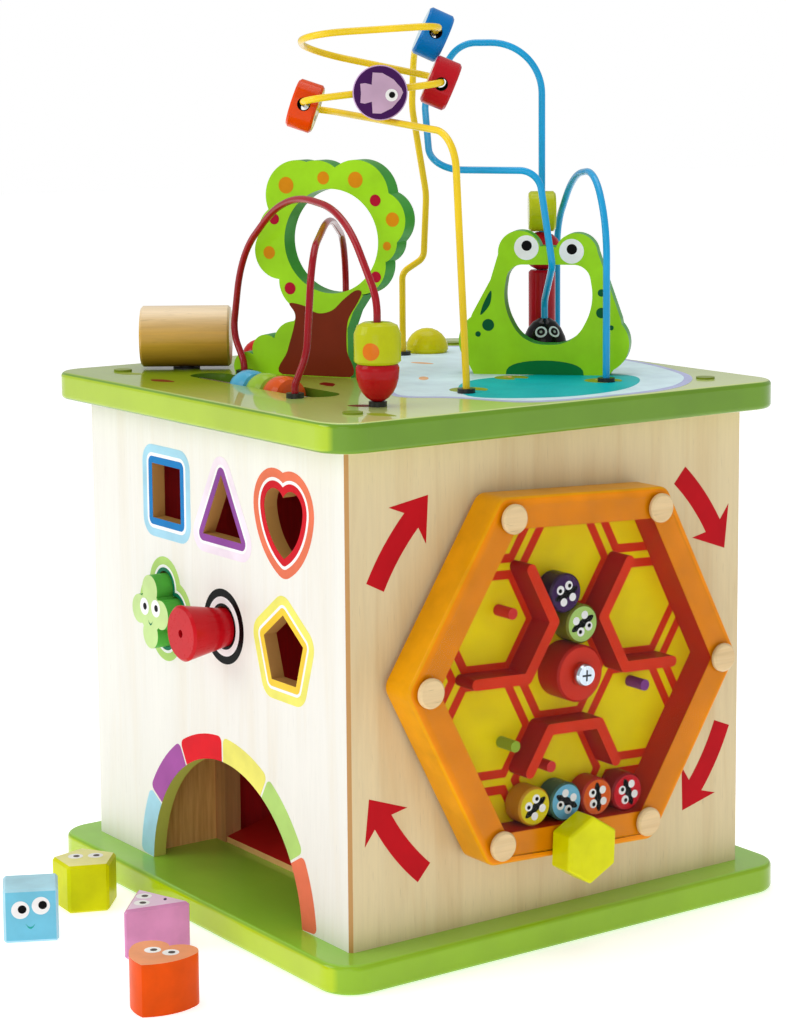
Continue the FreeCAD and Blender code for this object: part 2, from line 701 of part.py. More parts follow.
def disc_beads():
    bore = "wire_radius + bore_play"
    points = [place for place, _ in coil_corners()]

    def between(first, second, share):
        return points[first] + (points[second] - points[first]) * share

    def leaning(degrees):
        lean = math.radians(degrees)
        return diagonal(math.cos(lean), 0, -math.sin(lean))
    plain = ("disc_radius", "disc_width")
    spots = {
        "disc_orange": (1, 2, 0.53, plain, leaning(19)), "disc_red": (3, 4, 0.4, plain, leaning(23)),
        "disc_blue": (7, 8, 0.284, plain, leaning(24)),
        "disc_fish": (2, 3, 0.56, ("fish_radius", "fish_width"), diagonal(0, 1, 0)),
    }
    for name, (first, second, share, (radius, width), face) in spots.items():
        disc = keep(drilled_disc(name, radius, width, bore), name)
        centre = between(first, second, share) - UP * (size("bore_play") - size("seat_gap"))
        place_on(disc, centre, points[second] - points[first], face)


def stack_beads():
    """Beads threaded on the tall wire's back leg, standing on its ferrule."""
    foot = FEET["tall_back"]
    bore = "wire_radius + bore_play"
    gap = size("seat_gap")
    standing_bead("barrel_red", [
        (bore, 0), ("stack_radius - bead_edge", 0), ("stack_radius", "bead_edge"),
        ("stack_radius", "barrel_length - bead_edge"), ("stack_radius - bead_edge", "barrel_length"),
        (bore, "barrel_length")], foot)
    ball = ball_profile(size("red_bead_radius"), doc_value(bore))
    lift = size("barrel_length") + gap
    standing_bead("bead_red", ball, foot, lift)
    disc = keep(drilled_disc("disc_lime", "lime_disc_radius", "lime_disc_width", bore), "disc_lime")
    lift += ball[-1][1] + gap + size("lime_disc_radius")
    place_on(disc, Vector(foot.x, foot.y, BEAD_FLOOR + lift), UP, diagonal(1, 0, 0))


BEAD_FLOOR = DECK_Z + size("ferrule_rise") + size("seat_gap")


def standing_bead(name, profile, foot, lift=0.0):
    bead = keep(turned(name, profile), name)
    bead.Placement = Placement(Vector(foot.x, foot.y, BEAD_FLOOR + lift), Rotation())


def ball_profile(radius, bore, steps=8):
    """The outside of a bored ball from its lower to its upper rim, as (radius, height) numbers."""
    top = math.acos(bore / radius)
    angles = [top * (2 * i / steps - 1) for i in range(steps + 1)]
    return [(radius * math.cos(angle), radius * (math.sin(angle) + math.sin(top))) for angle in angles]


def dome_profile(radius, height, bore, steps=5):
    """Half an ellipse over a short straight skirt, as (radius, height) numbers."""
    skirt = 0.18 * height
    rise = height - skirt
    top = math.acos(bore / radius)
    points = [(bore, 0.0), (radius * 0.93, 0.0), (radius, skirt * 0.5)]
    for i in range(steps + 1):
        angle = top * i / steps
        points.append((radius * math.cos(angle), skirt + rise * math.sin(angle) / math.sin(top)))
    return points


def figure_beads():
    bore = size("wire_radius") + size("bore_play")
    standing_bead("bead_ladybug", dome_profile(size("ladybug_radius"), size("ladybug_rise"), bore),
                  FEET["tall_mouth"])
    standing_bead("acorn_nut", [(x, size("acorn_rise") - z) for x, z in
                                dome_profile(size("acorn_radius"), size("acorn_rise"), bore)],
                  FEET["big_right"])
    standing_bead("acorn_cap", [
        ("wire_radius + bore_play", 0), ("acorn_cap_radius - bead_edge", 0),
        ("acorn_cap_radius", "bead_edge"), ("acorn_cap_radius", "acorn_cap_rise * 0.72"),
        ("acorn_cap_radius * 0.86", "acorn_cap_rise * 0.93"), ("acorn_cap_radius * 0.6", "acorn_cap_rise"),
        ("wire_radius + bore_play", "acorn_cap_rise")],
        FEET["big_right"], size("acorn_rise") + size("seat_gap"))


# ---------------------------------------------------------------- slot and crawling beads
def crawlers():
    depth = DECK_Z - size("crawler_sink")
    lie = Rotation(Vector(0, 1, 0), 90)
    start, end = size("slot_left") - size("rod_hold"), size("slot_right") + size("rod_hold")
    rod = cylinder("slot_rod", "rod_radius", end - start, start, "slot_middle", depth, turn=lie)
    keep(rod, "slot_rod")
    for i, colour in enumerate(("blue", "lime", "orange")):
        name = "crawler_" + colour
        bead = turned(name, [
            ("rod_radius + bore_play / 2", "-crawler_length / 2"),
            ("crawler_radius - 3 * bead_edge", "-crawler_length / 2"),
            ("crawler_radius - bead_edge", "-crawler_length / 2 + bead_edge"),
            ("crawler_radius", "-crawler_length / 5"), ("crawler_radius", "crawler_length / 5"),
            ("crawler_radius - bead_edge", "crawler_length / 2 - bead_edge"),
            ("crawler_radius - 3 * bead_edge", "crawler_length / 2"),
            ("rod_radius + bore_play / 2", "crawler_length / 2")])
        keep(bead, name)
        centre = size("crawler_first") + i * size("crawler_pitch")
        bead.Placement = Placement(Vector(centre, size("slot_middle"), depth), lie)


def slot_tool():
    reach = "(slot_right - slot_left - 2 * slot_half)"
    low = CEILING + " - 1"
    deep = "top_thick + 2"
    middle = box("slot_middle_cut", reach, "2 * slot_half", deep, "slot_left + slot_half",
                 "slot_middle - slot_half", low)
    ends = [cylinder("slot_end_%d" % i, "slot_half", deep, x, "slot_middle", low)
            for i, x in enumerate(("slot_left + slot_half", "slot_right - slot_half"))]
    rod = cylinder("slot_rod_hole", "rod_radius", "slot_right - slot_left + 2 * rod_hold",
                   "slot_left - rod_hold", "slot_middle", DECK + " - crawler_sink",
                   turn=Rotation(Vector(0, 1, 0), 90))
    return [middle, rod] + ends


# ---------------------------------------------------------------- tree, frog, log, domes
def lobe_figure(name, lobes, outline, opening):
    """A flat sawn figure: round lobes and a straight-sided middle, with one big opening."""
    pieces = [cylinder("%s_lobe_%d" % (name, i), r, "figure_thick", x, y)
              for i, (x, y, r) in enumerate(lobes)]
    body = new_body(name + "_middle")
    pad(body, polygon_sketch(body, "XY_Plane", name + "_sides", outline), name + "_slab", "figure_thick")
    whole = fuse(name + "_whole", body, *pieces)
    reach = 2 * size("base_width")
    under = box(name + "_under", reach, reach, "figure_thick", -reach / 2, -reach)
    return cut(name, whole, opening, under)


def stand_figure(obj, x, y, turn):
    """Stand the figure on the deck, its middle plane through (x, y), its face toward -Y then turned."""
    facing = Rotation(UP, turn).multiply(Rotation(Vector(1, 0, 0), 90))
    back = facing.multVec(Vector(0, 0, -size("figure_thick") / 2))
    obj.Placement = Placement(Vector(x, y, DECK_Z) + back, facing)


def tree():
    rise = size("tree_hole_rise")
    crown = [(-24, 29, 23), (-10, 30, 22), (18, 29, 23.5), (34, 14, 19), (33, 0, 14), (20, -15, 19),
             (0, -22, 25), (-18, -26, 20), (-37, -7, 18.5), (-33, 4, 20)]
    bush = [(-63, 4.5, 9.5), (-48.5, 16, 10), (-27.5, 20.5, 15)]
    lobes = [(x, rise + z, radius) for x, z, radius in crown] + bush
    outline = [(-60, 0), (13.5, 0), (11.5, 17), (11.3, 32), (15.5, 43), (23, 54), (-30, 50), (-26, 38),
               (-38, 20), (-56, 12)]
    opening = cylinder("tree_opening", "tree_hole_radius", "figure_thick", 0, "tree_hole_rise")
    obj = keep(lobe_figure("tree", lobes, outline, opening), "tree")
    stand_figure(obj, -24.2, -39.6, size("tree_turn"))


def frog_mouth():
    """The frog's open mouth: a flat upper lip, full cheeks and a round chin."""
    mouth = new_body("frog_mouth")
    half = "frog_mouth_half"
    feature = pad(mouth, polygon_sketch(mouth, "XY_Plane", "frog_mouth_sides", [
        ("-0.55 * " + half, "frog_mouth_low"), ("0.55 * " + half, "frog_mouth_low"),
        (half, "frog_mouth_wide"), ("0.86 * " + half, "frog_mouth_high"),
        ("-0.86 * " + half, "frog_mouth_high"), ("-" + half, "frog_mouth_wide")]),
        "frog_mouth_slab", "figure_thick")
    for place, bend in (("frog_mouth_low", "frog_chin_bend"), ("frog_mouth_wide", "frog_cheek_bend"),
                        ("frog_mouth_high", "frog_lip_bend")):
        feature = body_fillet(mouth, feature, bend + "s", bend, lambda edge: upright(edge) and abs(
            edge.CenterOfMass.y - size(place)) < 1e-6)
    return at(mouth, "frog_mouth_shift", 0, 0)


def frog():
    eye, foot, head = "frog_eye", "frog_foot", "frog_head"
    lobes = [(-17, 80, eye), (20, 78.5, eye), (-38, 22, foot), (35.5, 21, foot), (0, 50, head)]
    outline = [(-47, 0), (41, 0), (53, 15), (49, 37), (42, 57), (34, 80), (-30, 82), (-36, 62),
               (-48, 40), (-56, 18)]
    obj = keep(lobe_figure("frog", lobes, outline, frog_mouth()), "frog")
    stand_figure(obj, 53.5, 73, size("frog_turn"))


LOG_PLACE = (-125, -94)


def log_and_dowel():
    x, y = LOG_PLACE
    reach = "top_thick + log_clear + dowel_reach"
    shank = cylinder("log_dowel_shank", "dowel_radius", reach, x, y, CEILING)
    collar = cylinder("log_dowel_collar", "collar_radius", "log_clear - seat_gap", x, y, DECK)
    keep(fuse("log_dowel", shank, collar), "log_dowel")
    blank = cylinder("log_blank", "log_radius", "log_length", "-log_length / 2",
                     turn=Rotation(Vector(0, 1, 0), 90))
    soft = bevelled("log_soft", blank, "bead_edge")
    bore = cylinder("log_bore", "dowel_radius + dowel_play", "log_radius + dowel_reach + seat_gap",
                    z="-2 * log_radius")
    piece = keep(cut("log_roller", soft, bore), "log_roller")
    height = DECK_Z + size("log_clear") + size("log_radius")
    piece.Placement = Placement(Vector(x, y, height), Rotation(UP, size("diagonal_turn")))


DOMES = {"red_dome": (-135, -30, "red_dome_radius"), "yellow_dome": (-101, 88, "yellow_dome_radius")}


def domes():
    """Round wooden buttons glued to the deck."""
    for name, (x, y, radius) in DOMES.items():
        value = size(radius)
        profile = [(0.0, 0.0), (value * 0.9, 0.0), (value, size("dome_foot"))]
        for i in range(1, 6):
            angle = math.radians(90 * i / 6)
            profile.append((value * math.cos(angle), size("dome_foot") + value * math.sin(angle)))
        profile.append((0.0, size("dome_foot") + value))
        dome = keep(turned(name, profile), name)
        dome.Placement = Placement(Vector(x, y, DECK_Z), Rotation())


# ---------------------------------------------------------------- blocks
def soft_block(name, shape):
    blank = shape(name + "_blank", "0", "block_length")
    if shape in (heart_shape, flower_shape):
        return blank
    return bevelled(name, blank, "block_round", lambda edge: True)


# each loose block's shape, place across, distance in front of the base plate and heading
LOOSE = {
    "block_square": (square_shape, -36.6, 90.1, 63),
    "block_pentagon": (pentagon_shape, -68.1, 34.8, 67.7),
    "block_triangle": (triangle_shape, 31.7, 43.1, 79),
    "block_heart": (heart_shape, 117.2, 87.1, 32.8),
}


def loose_blocks():
    """Four blocks beside the cube: the square one on its side, the others on end."""
    for name, (shape, x, front, heading) in LOOSE.items():
        block = keep(soft_block(name, shape), name)
        y = -size("base_width") / 2 - front
        if shape is square_shape:
            turn = Rotation(UP, heading).multiply(Rotation(Vector(1, 0, 0), 90))
            shift = turn.multVec(Vector(0, 0, -size("block_length") / 2))
            block.Placement = Placement(Vector(x, y, size("square_side") / 2) + shift, turn)
        else:
            block.Placement = Placement(Vector(x, y, 0), Rotation(UP, heading))


def held_blocks():
    """The flower and the round peg are half way through their holes; the peg swells toward its end."""
    sink = "(shape_gap - seat_gap)"
    flower = keep(soft_block("block_flower", flower_shape), "block_flower")
    _, column, row = SORTER["flower"]
    sorter_place(flower, column, row + " - " + sink, "-box_width / 2 - flower_out + block_length")
    _, column, row = SORTER["round"]
    piece = keep(turned("block_round", [
        (0, 0), ("round_neck", 0), ("round_neck", "round_length - round_out"),
        ("round_radius", "round_length - block_round"), ("round_radius - block_round", "round_length"),
        ("round_dimple", "round_length"), ("round_dimple", "round_length * 0.8"),
        (0, "round_length * 0.8")]), "block_round")
    sorter_place(piece, column, row + " - " + sink, "-box_width / 2 - round_out + round_length")


# ---------------------------------------------------------------- inside boards and screws
def inside():
    inner = "(box_width / 2 - panel_thick)"
    low, tall = "base_thick", "box_height"
    posts = []
    for i, (sx, sy) in enumerate(((-1, -1), (1, -1), (1, 1), (-1, 1))):
        x = "-" + inner if sx < 0 else inner + " - batten_side"
        y = "-" + inner if sy < 0 else inner + " - batten_side"
        posts.append(box("batten_%d" % i, "batten_side", "batten_side", tall, x, y, low))
    keep(gather("corner_battens", *posts), "corner_battens")
    depth = "(%s + back_wall_place)" % inner
    keep(box("chute_side", "board_thick", depth, tall, "side_wall_place - board_thick", "-" + inner, low),
         "chute_side")
    back = box("chute_back", inner + " - side_wall_place - batten_side", "board_thick", tall,
               "side_wall_place", "back_wall_place - board_thick", low)
    keep(back, "chute_back")
    post = box("chute_post", "post_side", "post_side", "post_rise", "side_wall_place",
               "post_place - post_side", low)
    keep(post, "chute_post")
    body = new_body("chute_ramp")
    wide = inner + " - batten_side - side_wall_place - post_side"
    run = [("ramp_front", 0), ("back_wall_place - board_thick", 0),
           ("back_wall_place - board_thick", "ramp_rise"), ("ramp_front", 4)]
    pad(body, polygon_sketch(body, "YZ_Plane", "ramp_side", run), "ramp_board", wide)
    keep(at(body, "side_wall_place + post_side", 0, "base_thick"), "chute_ramp")


def screw_places():
    """One screw over the middle of each corner batten."""
    reach = "(box_width / 2 - panel_thick - batten_side / 2)"
    return [(sx + reach, sy + reach) for sx, sy in (("-", "-"), ("", "-"), ("", ""), ("-", ""))]


def screws():
    pieces = []
    for i, (x, y) in enumerate(screw_places()):
        head = cylinder("screw_head_%d" % i, "screw_head_radius", "screw_head_rise", x, y, DECK)
        shank = cylinder("screw_shank_%d" % i, "screw_radius", "top_thick", x, y, CEILING)
        pieces.append(fuse("screw_%d" % i, head, shank))
    keep(gather("deck_screws", *pieces), "deck_screws")


def deck_holes():
    tools = slot_tool()
    for name, foot in FEET.items():
        tools.append(cylinder("foot_hole_" + name, "wire_radius", "wire_set + 1", foot.x, foot.y,
                              DECK + " - wire_set"))
    tools.append(cylinder("dowel_hole", "dowel_radius", "top_thick + 2", *LOG_PLACE, CEILING + " - 1"))
    for i, (x, y) in enumerate(screw_places()):
        tools.append(cylinder("screw_hole_%d" % i, "screw_radius", "top_thick + 2", x, y, CEILING + " - 1"))
    return tools


def build():
    keep(plate("base_plate", "base_width", "base_thick", "base_corner"), "base_plate")
    top_blank = at(plate("top_blank", "top_width", "top_thick", "top_corner"), 0, 0, CEILING)
    keep(cut("top_plate", top_blank, *deck_holes()), "top_plate")
    keep(cut("sorter_panel", panel("sorter_blank", 0), *sorter_holes()), "sorter_panel")
    keep(cut("maze_panel", panel("maze_blank", 1), maze_panel_hole()), "maze_panel")
    keep(panel("back_panel", 2), "back_panel")
    keep(panel("left_panel", 3), "left_panel")
    inside()
    screws()
    maze_axle()
    maze_wheel()
    pucks()
    wires()
    ferrules()
    disc_beads()
    stack_beads()
    figure_beads()
    crawlers()
    tree()
    frog()
    log_and_dowel()
    domes()
    loose_blocks()
    held_blocks()


def write():
    doc.recompute()
    for obj in doc.Objects:
        if {"Invalid", "Error"} & set(obj.State):
            raise ValueError("%s failed: %s" % (obj.Name, obj.State))
    os.makedirs("parts", exist_ok=True)
    for obj in SUBPARTS:
        if obj.Shape.isNull() or not obj.Shape.isValid():
            raise ValueError("%s has no valid shape" % obj.Label)
        obj.Shape.exportStep("parts/%s.step" % obj.Label)


build()
write()
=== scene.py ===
import math
import bpy
from mathutils import Matrix, Vector


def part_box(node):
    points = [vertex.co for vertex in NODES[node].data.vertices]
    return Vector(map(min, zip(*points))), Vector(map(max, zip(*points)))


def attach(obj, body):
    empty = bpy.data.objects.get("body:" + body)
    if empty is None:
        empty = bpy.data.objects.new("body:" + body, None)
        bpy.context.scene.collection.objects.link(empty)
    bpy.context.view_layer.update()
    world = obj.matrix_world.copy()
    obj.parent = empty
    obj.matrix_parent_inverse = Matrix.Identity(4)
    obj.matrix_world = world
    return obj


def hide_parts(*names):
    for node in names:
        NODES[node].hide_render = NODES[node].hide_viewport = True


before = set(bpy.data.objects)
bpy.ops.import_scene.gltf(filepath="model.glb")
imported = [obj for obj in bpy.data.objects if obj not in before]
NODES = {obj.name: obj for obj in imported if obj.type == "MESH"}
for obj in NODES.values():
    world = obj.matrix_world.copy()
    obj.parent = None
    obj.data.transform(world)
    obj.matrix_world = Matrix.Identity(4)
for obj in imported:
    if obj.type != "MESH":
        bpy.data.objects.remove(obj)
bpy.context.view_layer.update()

MM = 0.001

# paints, as 0-255 screen colours
PAINT = {
    "leaf": (160, 220, 34), "leaf_edge": (60, 158, 50), "trunk": (124, 44, 22), "lime": (224, 224, 0),
    "yellow": (226, 208, 24), "pale_yellow": (241, 234, 112), "gold": (244, 205, 62),
    "orange": (226, 96, 22), "coral": (232, 118, 84), "red": (210, 14, 32), "scarlet": (224, 0, 24),
    "dark_red": (192, 14, 28), "maroon": (214, 34, 44), "mauve": (200, 166, 194),
    "pale_lilac": (243, 228, 240), "purple": (140, 70, 152), "orchid": (164, 80, 160),
    "deep_purple": (64, 34, 84), "blue": (20, 122, 190), "sky": (116, 190, 222),
    "pale_blue": (166, 214, 234), "ice": (219, 242, 251), "teal": (44, 168, 158),
    "lavender": (186, 190, 226), "mint": (178, 214, 116), "forest": (12, 120, 84),
    "white": (250, 250, 248), "black": (7, 7, 8), "brick": (224, 52, 14), "cell": (252, 228, 0),
    "olive": (150, 164, 40), "spot": (10, 92, 52), "belly": (10, 120, 60), "fruit": (214, 138, 16),
    "berry": (176, 18, 48), "plum": (66, 22, 84), "puddle": (0, 184, 188), "crimson": (122, 22, 14),
    "peach": (240, 180, 130), "smoke": (84, 76, 72),
}

# bare wood, as (light, dark) screen colours, and the colour of its sawn edges
PALE_BIRCH = ((237, 235, 227), (234, 229, 216))
# BIRCH, on the maze and back panels, is darker and warmer than PALE_BIRCH: partly the wood's own colour,
# partly painted shade of the maze side
BIRCH = ((225, 207, 163), (216, 192, 144))
SAWN_EDGE = (190, 140, 76)

# how finely streaks repeat along x, y and z when the grain runs along one of them, per metre
GRAIN = {"x": (30, 420, 420), "y": (420, 30, 420), "z": (420, 420, 30)}

UP = (0, 0, 1)
OUT_OF_MAZE = (1, 0, 0)
ACROSS_PANELS = (0, 1, 0)


# -------- materials
def linear(colour):
    return tuple((c / 255 / 12.92 if c <= 10 else ((c / 255 + 0.055) / 1.055) ** 2.4) for c in colour) + (1,)


def shade(colour, factor):
    return tuple(min(255, c * factor) for c in colour)


class Look:
    """A new material, with makers of its nodes and links and the inputs of its main shader."""

    def __init__(self, name):
        self.material = bpy.data.materials.new(name)
        self.material.use_nodes = True
        self.tree = self.material.node_tree
        self.link = self.tree.links.new
        self.inputs = self.tree.nodes["Principled BSDF"].inputs

    def add(self, kind, **values):
        """A shader node. Each value is an input, with _ for a space in its name, or else a setting."""
        node = self.tree.nodes.new("ShaderNode" + kind)
        for key, value in values.items():
            socket = key.replace("_", " ")
            if socket in node.inputs:
                node.inputs[socket].default_value = value
            else:
                setattr(node, key, value)
        return node

    def constants(self, **values):
        """Set inputs of the main shader, with _ for a space in a name."""
        for key, value in values.items():
            self.inputs[key.replace("_", " ")].default_value = value


def here(look, output="Object"):
    """Coordinates in the piece's own frame, or another output of that node."""
    return look.add("TexCoord").outputs[output]


def noise(look, size, detail=3.0, rough=0.55, distortion=0.0, stretch=(1, 1, 1), turn=0):
    """Noise in the piece's own frame, turned about Z by some degrees, then finer along some axes."""
    where = here(look)
    mapping = look.add("Mapping", vector_type="TEXTURE", Rotation=(0, 0, math.radians(turn)),
                       Scale=tuple(1 / s for s in stretch))
    look.link(where, mapping.inputs["Vector"])
    node = look.add("TexNoise", Scale=size, Detail=detail, Roughness=rough, Distortion=distortion)
    look.link(mapping.outputs["Vector"], node.inputs["Vector"])
    return node.outputs["Fac"]


def ramp(look, factor, *stops):
    """Colours between (place, colour) stops."""
    node = look.add("ValToRGB")
    while len(node.color_ramp.elements) < len(stops):
        node.color_ramp.elements.new(0.5)
    for element, (place, colour) in zip(node.color_ramp.elements, stops):
        element.position = place
        element.color = colour
    look.link(factor, node.inputs["Fac"])
    return node.outputs["Color"]


def mottled(look, pattern, colour, low, high):
    """A paint that drifts with a pattern between low and high times its own brightness."""
    return ramp(look, pattern, (0.3, linear(shade(colour, low))), (0.7, linear(shade(colour, high))))


def ranged(look, value, **limits):
    """A value brought from From_Min and From_Max to To_Min and To_Max, each 0 or 1 when not given."""
    node = look.add("MapRange", **limits)
    look.link(value, node.inputs["Value"])
    return node.outputs["Result"]


def span(look, value, low, high):
    """A value between 0 and 1 brought to between low and high."""
    return ranged(look, value, To_Min=low, To_Max=high)


def bump(look, height, distance, strength):
    node = look.add("Bump", Strength=strength, Distance=distance)
    look.link(height, node.inputs["Height"])
    look.link(node.outputs["Normal"], look.inputs["Normal"])


def blend(look, factor, under, over, kind="MIX"):
    """Over laid on under. Each of them, and the factor, is a socket, a number or a colour."""
    mix = look.add("Mix", data_type="RGBA", blend_type=kind)
    for socket, value in (("Factor", factor), ("A", under), ("B", over)):
        if isinstance(value, float) and socket != "Factor":
            value = (value, value, value, 1)
        if isinstance(value, (float, tuple)):
            mix.inputs[socket].default_value = value
        else:
            look.link(value, mix.inputs[socket])
    return mix.outputs["Result"]


def compute(look, kind, operation, first, second=None):
    """The result of a Math or VectorMath node."""
    node = look.add(kind, operation=operation)
    if second is not None:
        node.inputs[1].default_value = second
    look.link(first, node.inputs[0])
    return node.outputs["Vector" if operation in ("SUBTRACT", "CROSS_PRODUCT") else "Value"]


def along(look, facing):
    """1 where the surface looks along facing or straight away from it, 0 where it looks aside."""
    dot = compute(look, "VectorMath", "DOT_PRODUCT", here(look, "Normal"), facing)
    return ranged(look, compute(look, "Math", "ABSOLUTE", dot), From_Min=0.8, From_Max=0.9)


def within(look, place, radius):
    """1 inside a ball about a place, in metres of the piece's own frame, else 0."""
    apart = compute(look, "VectorMath", "DISTANCE", here(look), place)
    return compute(look, "Math", "LESS_THAN", apart, radius)


def beside(look, place, line, radius):
    """1 closer than radius to a line through a place of the piece's own frame, else 0."""
    off = compute(look, "VectorMath", "SUBTRACT", here(look), place)
    cross = compute(look, "VectorMath", "CROSS_PRODUCT", off, Vector(line).normalized())
    apart = compute(look, "VectorMath", "LENGTH", cross)
    return compute(look, "Math", "LESS_THAN", apart, radius)


def axis_between(look, axis, low, high):
    """Rises from 0 to 1 as a coordinate of the piece's own frame goes from low to high, in metres."""
    where = here(look)
    parts = look.add("SeparateXYZ")
    look.link(where, parts.inputs["Vector"])
    return ranged(look, parts.outputs[axis], From_Min=low, From_Max=high)


def surface(look, tone, pattern, smoothest, roughest, depth, strength=0.3, **constants):
    """Wire up the colour, and let a pattern vary the roughness and press in a bump, depth in mm."""
    look.link(tone, look.inputs["Base Color"])
    look.link(span(look, pattern, smoothest, roughest), look.inputs["Roughness"])
    bump(look, pattern, depth * MM, strength)
    look.constants(**constants)
    return look.material


def painted(name, colour, rough=0.36, coat=0.3, grain="z", side=None, facing=UP, dots=(), bore=None):
    """Satin toy paint on sanded wood: a little uneven, with the grain just telegraphing through.

    side is a second paint for what doesn't look along facing; dots are printed (place, radius, colour);
    bore is the (place, line, radius) of a drilled hole, whose inside gets painted shade, dark and without
    sheen."""
    look = Look(name)
    cloud = noise(look, 38, 4)
    tone = mottled(look, cloud, colour, 0.94, 1.03)
    if side:
        edge = mottled(look, cloud, side, 0.93, 1.04)
        tone = blend(look, along(look, facing), edge, tone)
    for place, radius, dot_colour in dots:
        tone = blend(look, within(look, place, radius), tone, linear(dot_colour))
    if bore:
        # painted shade: the inside of the bore is darkened and loses its sheen
        bore_shade = beside(look, *bore)
        tone = blend(look, bore_shade, tone, linear((16, 8, 6)))
    look.link(tone, look.inputs["Base Color"])
    fibres = noise(look, 1, 4, 0.6, stretch=GRAIN[grain])
    satin = span(look, fibres, rough - 0.07, rough + 0.09)
    if bore:
        satin = blend(look, bore_shade, satin, 1.0)
    look.link(satin, look.inputs["Roughness"])
    bump(look, fibres, 0.12 * MM, 0.35)
    sheen = coat * 0.3
    look.constants(Specular_IOR_Level=0.05, Coat_Weight=sheen, Coat_Roughness=0.12)
    if bore:
        look.link(span(look, bore_shade, sheen, 0.0), look.inputs["Coat Weight"])
    return look.material


def gloss(name, colour, rough=0.16, side=None, facing=UP, dots=(), bore=None):
    """Dipped lacquer on small turned pieces."""
    return painted(name, colour, rough, 0.8, "z", side, facing, dots, bore)


def lacquer(name, colour, pale, painted_lit_edge, painted_shaded_edge, slot=None):
    """Thick clear-coated paint of deck and base: paler toward +X, with a painted highlight on the edges
    along Y and painted shade on the edges along X.

    slot is the (place, line, radius, reach) of a slot whose walls get painted shade."""
    look = Look(name)
    cloud = noise(look, 14, 4)
    tone = mottled(look, cloud, colour, 0.95, 1.04)
    tone = blend(look, axis_between(look, "X", -0.05, 0.17), tone, linear(pale))
    # painted light: edges along Y get a lighter copy of the paint, edges along X a darker, shaded copy
    edges = [mottled(look, cloud, edge, 0.95, 1.04) for edge in (painted_shaded_edge, painted_lit_edge)]
    edge = blend(look, along(look, ACROSS_PANELS), *edges)
    # painted shade: the walls inside the slot are darker green
    if slot:
        place, line, radius, reach = slot
        walls = blend(look, within(look, place, reach), edge, linear((88, 124, 30)))
        edge = blend(look, beside(look, place, line, radius), edge, walls)
    tone = blend(look, along(look, UP), edge, tone)
    fibres = noise(look, 1, 4, 0.6, stretch=GRAIN["x"])
    return surface(look, tone, fibres, 0.24, 0.36, 0.08, 0.25,
                   Specular_IOR_Level=0.1, Coat_Weight=0.7, Coat_Roughness=0.04)


def wood(name, colours, grain="z", rough=0.5, contrast=1.0, turn=0, side=None, facing=UP, rims=(), bands=()):
    """Bare clear-coated wood: long streaks along the grain, broad figure and short dark pores.

    colours are (light, dark); side is the colour of sawn edges, which don't look along facing; rims are
    (place, radius, colour) of a painted reflection on those edges; bands are (axis, from, to, colour) that
    the tone turns to."""
    look = Look(name)
    light, dark = colours

    def grained(finer, detail, roughness, distortion=0):
        scale = tuple(s * finer for s in GRAIN[grain])
        return noise(look, 1, detail, roughness, distortion, scale, turn)

    def streaks(pattern, depth, low, high):
        return ramp(look, pattern, (low, (1 - depth * contrast,) * 3 + (1,)), (high, (1, 1, 1, 1)))

    fine, broad, pores = grained(1, 6, 0.62, 0.4), grained(0.12, 3, 0.5, 1.0), grained(2.4, 1, 0.5)
    base = ramp(look, broad, (0.25, linear(dark)), (0.5, linear(light)), (0.8, linear(shade(light, 1.02))))
    layers = streaks(fine, 0.16, 0.28, 0.62), streaks(pores, 0.35, 0.22, 0.3)
    for axis, low, high, tint in bands:
        base = blend(look, axis_between(look, axis, low, high), base, linear(tint))
    if side:
        edge = linear(side)
        for place, radius, tint in rims:
            edge = blend(look, within(look, place, radius), edge, linear(tint))
        base = blend(look, along(look, facing), edge, base)
    for layer in layers:
        base = blend(look, 1.0, base, layer, "MULTIPLY")
    return surface(look, base, fine, rough - 0.08, rough + 0.1, 0.2, Coat_Weight=0.12, Coat_Roughness=0.25)


def metal(name, colour, rough=0.3):
    """Bare steel with fine scratches along Z."""
    look = Look(name)
    scratches = noise(look, 1, stretch=(900, 900, 90))
    tone = mottled(look, scratches, colour, 0.9, 1)
    return surface(look, tone, scratches, rough - 0.08, rough + 0.1, 0.05, Metallic=1.0)


def enamel(name, colour):
    """Powder-coated bead wire: bright and glossy with a faint orange peel."""
    look = Look(name)
    peel = noise(look, 900, 2)
    tone = mottled(look, noise(look, 30, 2), colour, 0.95, 1.03)
    return surface(look, tone, peel, 0.14, 0.24, 0.04,
                   Specular_IOR_Level=0.12, Coat_Weight=0.4, Coat_Roughness=0.06)


def plastic(name, colour, rough=0.4):
    """Moulded plastic with a fine speckled skin."""
    look = Look(name)
    speck = noise(look, 700, 2)
    return surface(look, mottled(look, speck, colour, 0.85, 1), speck, rough - 0.1, rough + 0.1, 0.05)


def clear(name):
    """Acrylic sheet: nearly invisible face on, with faint wipe marks in its gloss."""
    look = Look(name)
    wipe = noise(look, 1, stretch=(20, 20, 60))
    look.link(span(look, wipe, 0.02, 0.07), look.inputs["Roughness"])
    tone = ramp(look, wipe, (0.2, (0.97, 0.98, 0.98, 1)), (0.8, (1, 1, 1, 1)))
    look.link(tone, look.inputs["Base Color"])
    look.constants(Transmission_Weight=1.0, IOR=1.1)
    return look.material


INKS = {}


def ink(colour):
    """The print colour of that name, made once."""
    if colour not in INKS:
        INKS[colour] = painted("print_" + colour, PAINT[colour], 0.42, 0.15)
    return INKS[colour]


def placed(obj):
    """The object, now in the scene."""
    bpy.context.scene.collection.objects.link(obj)
    return obj


def finish(material, *nodes):
    """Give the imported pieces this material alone."""
    for node in nodes:
        data = NODES[node].data
        data.materials.clear()
        data.materials.append(material)


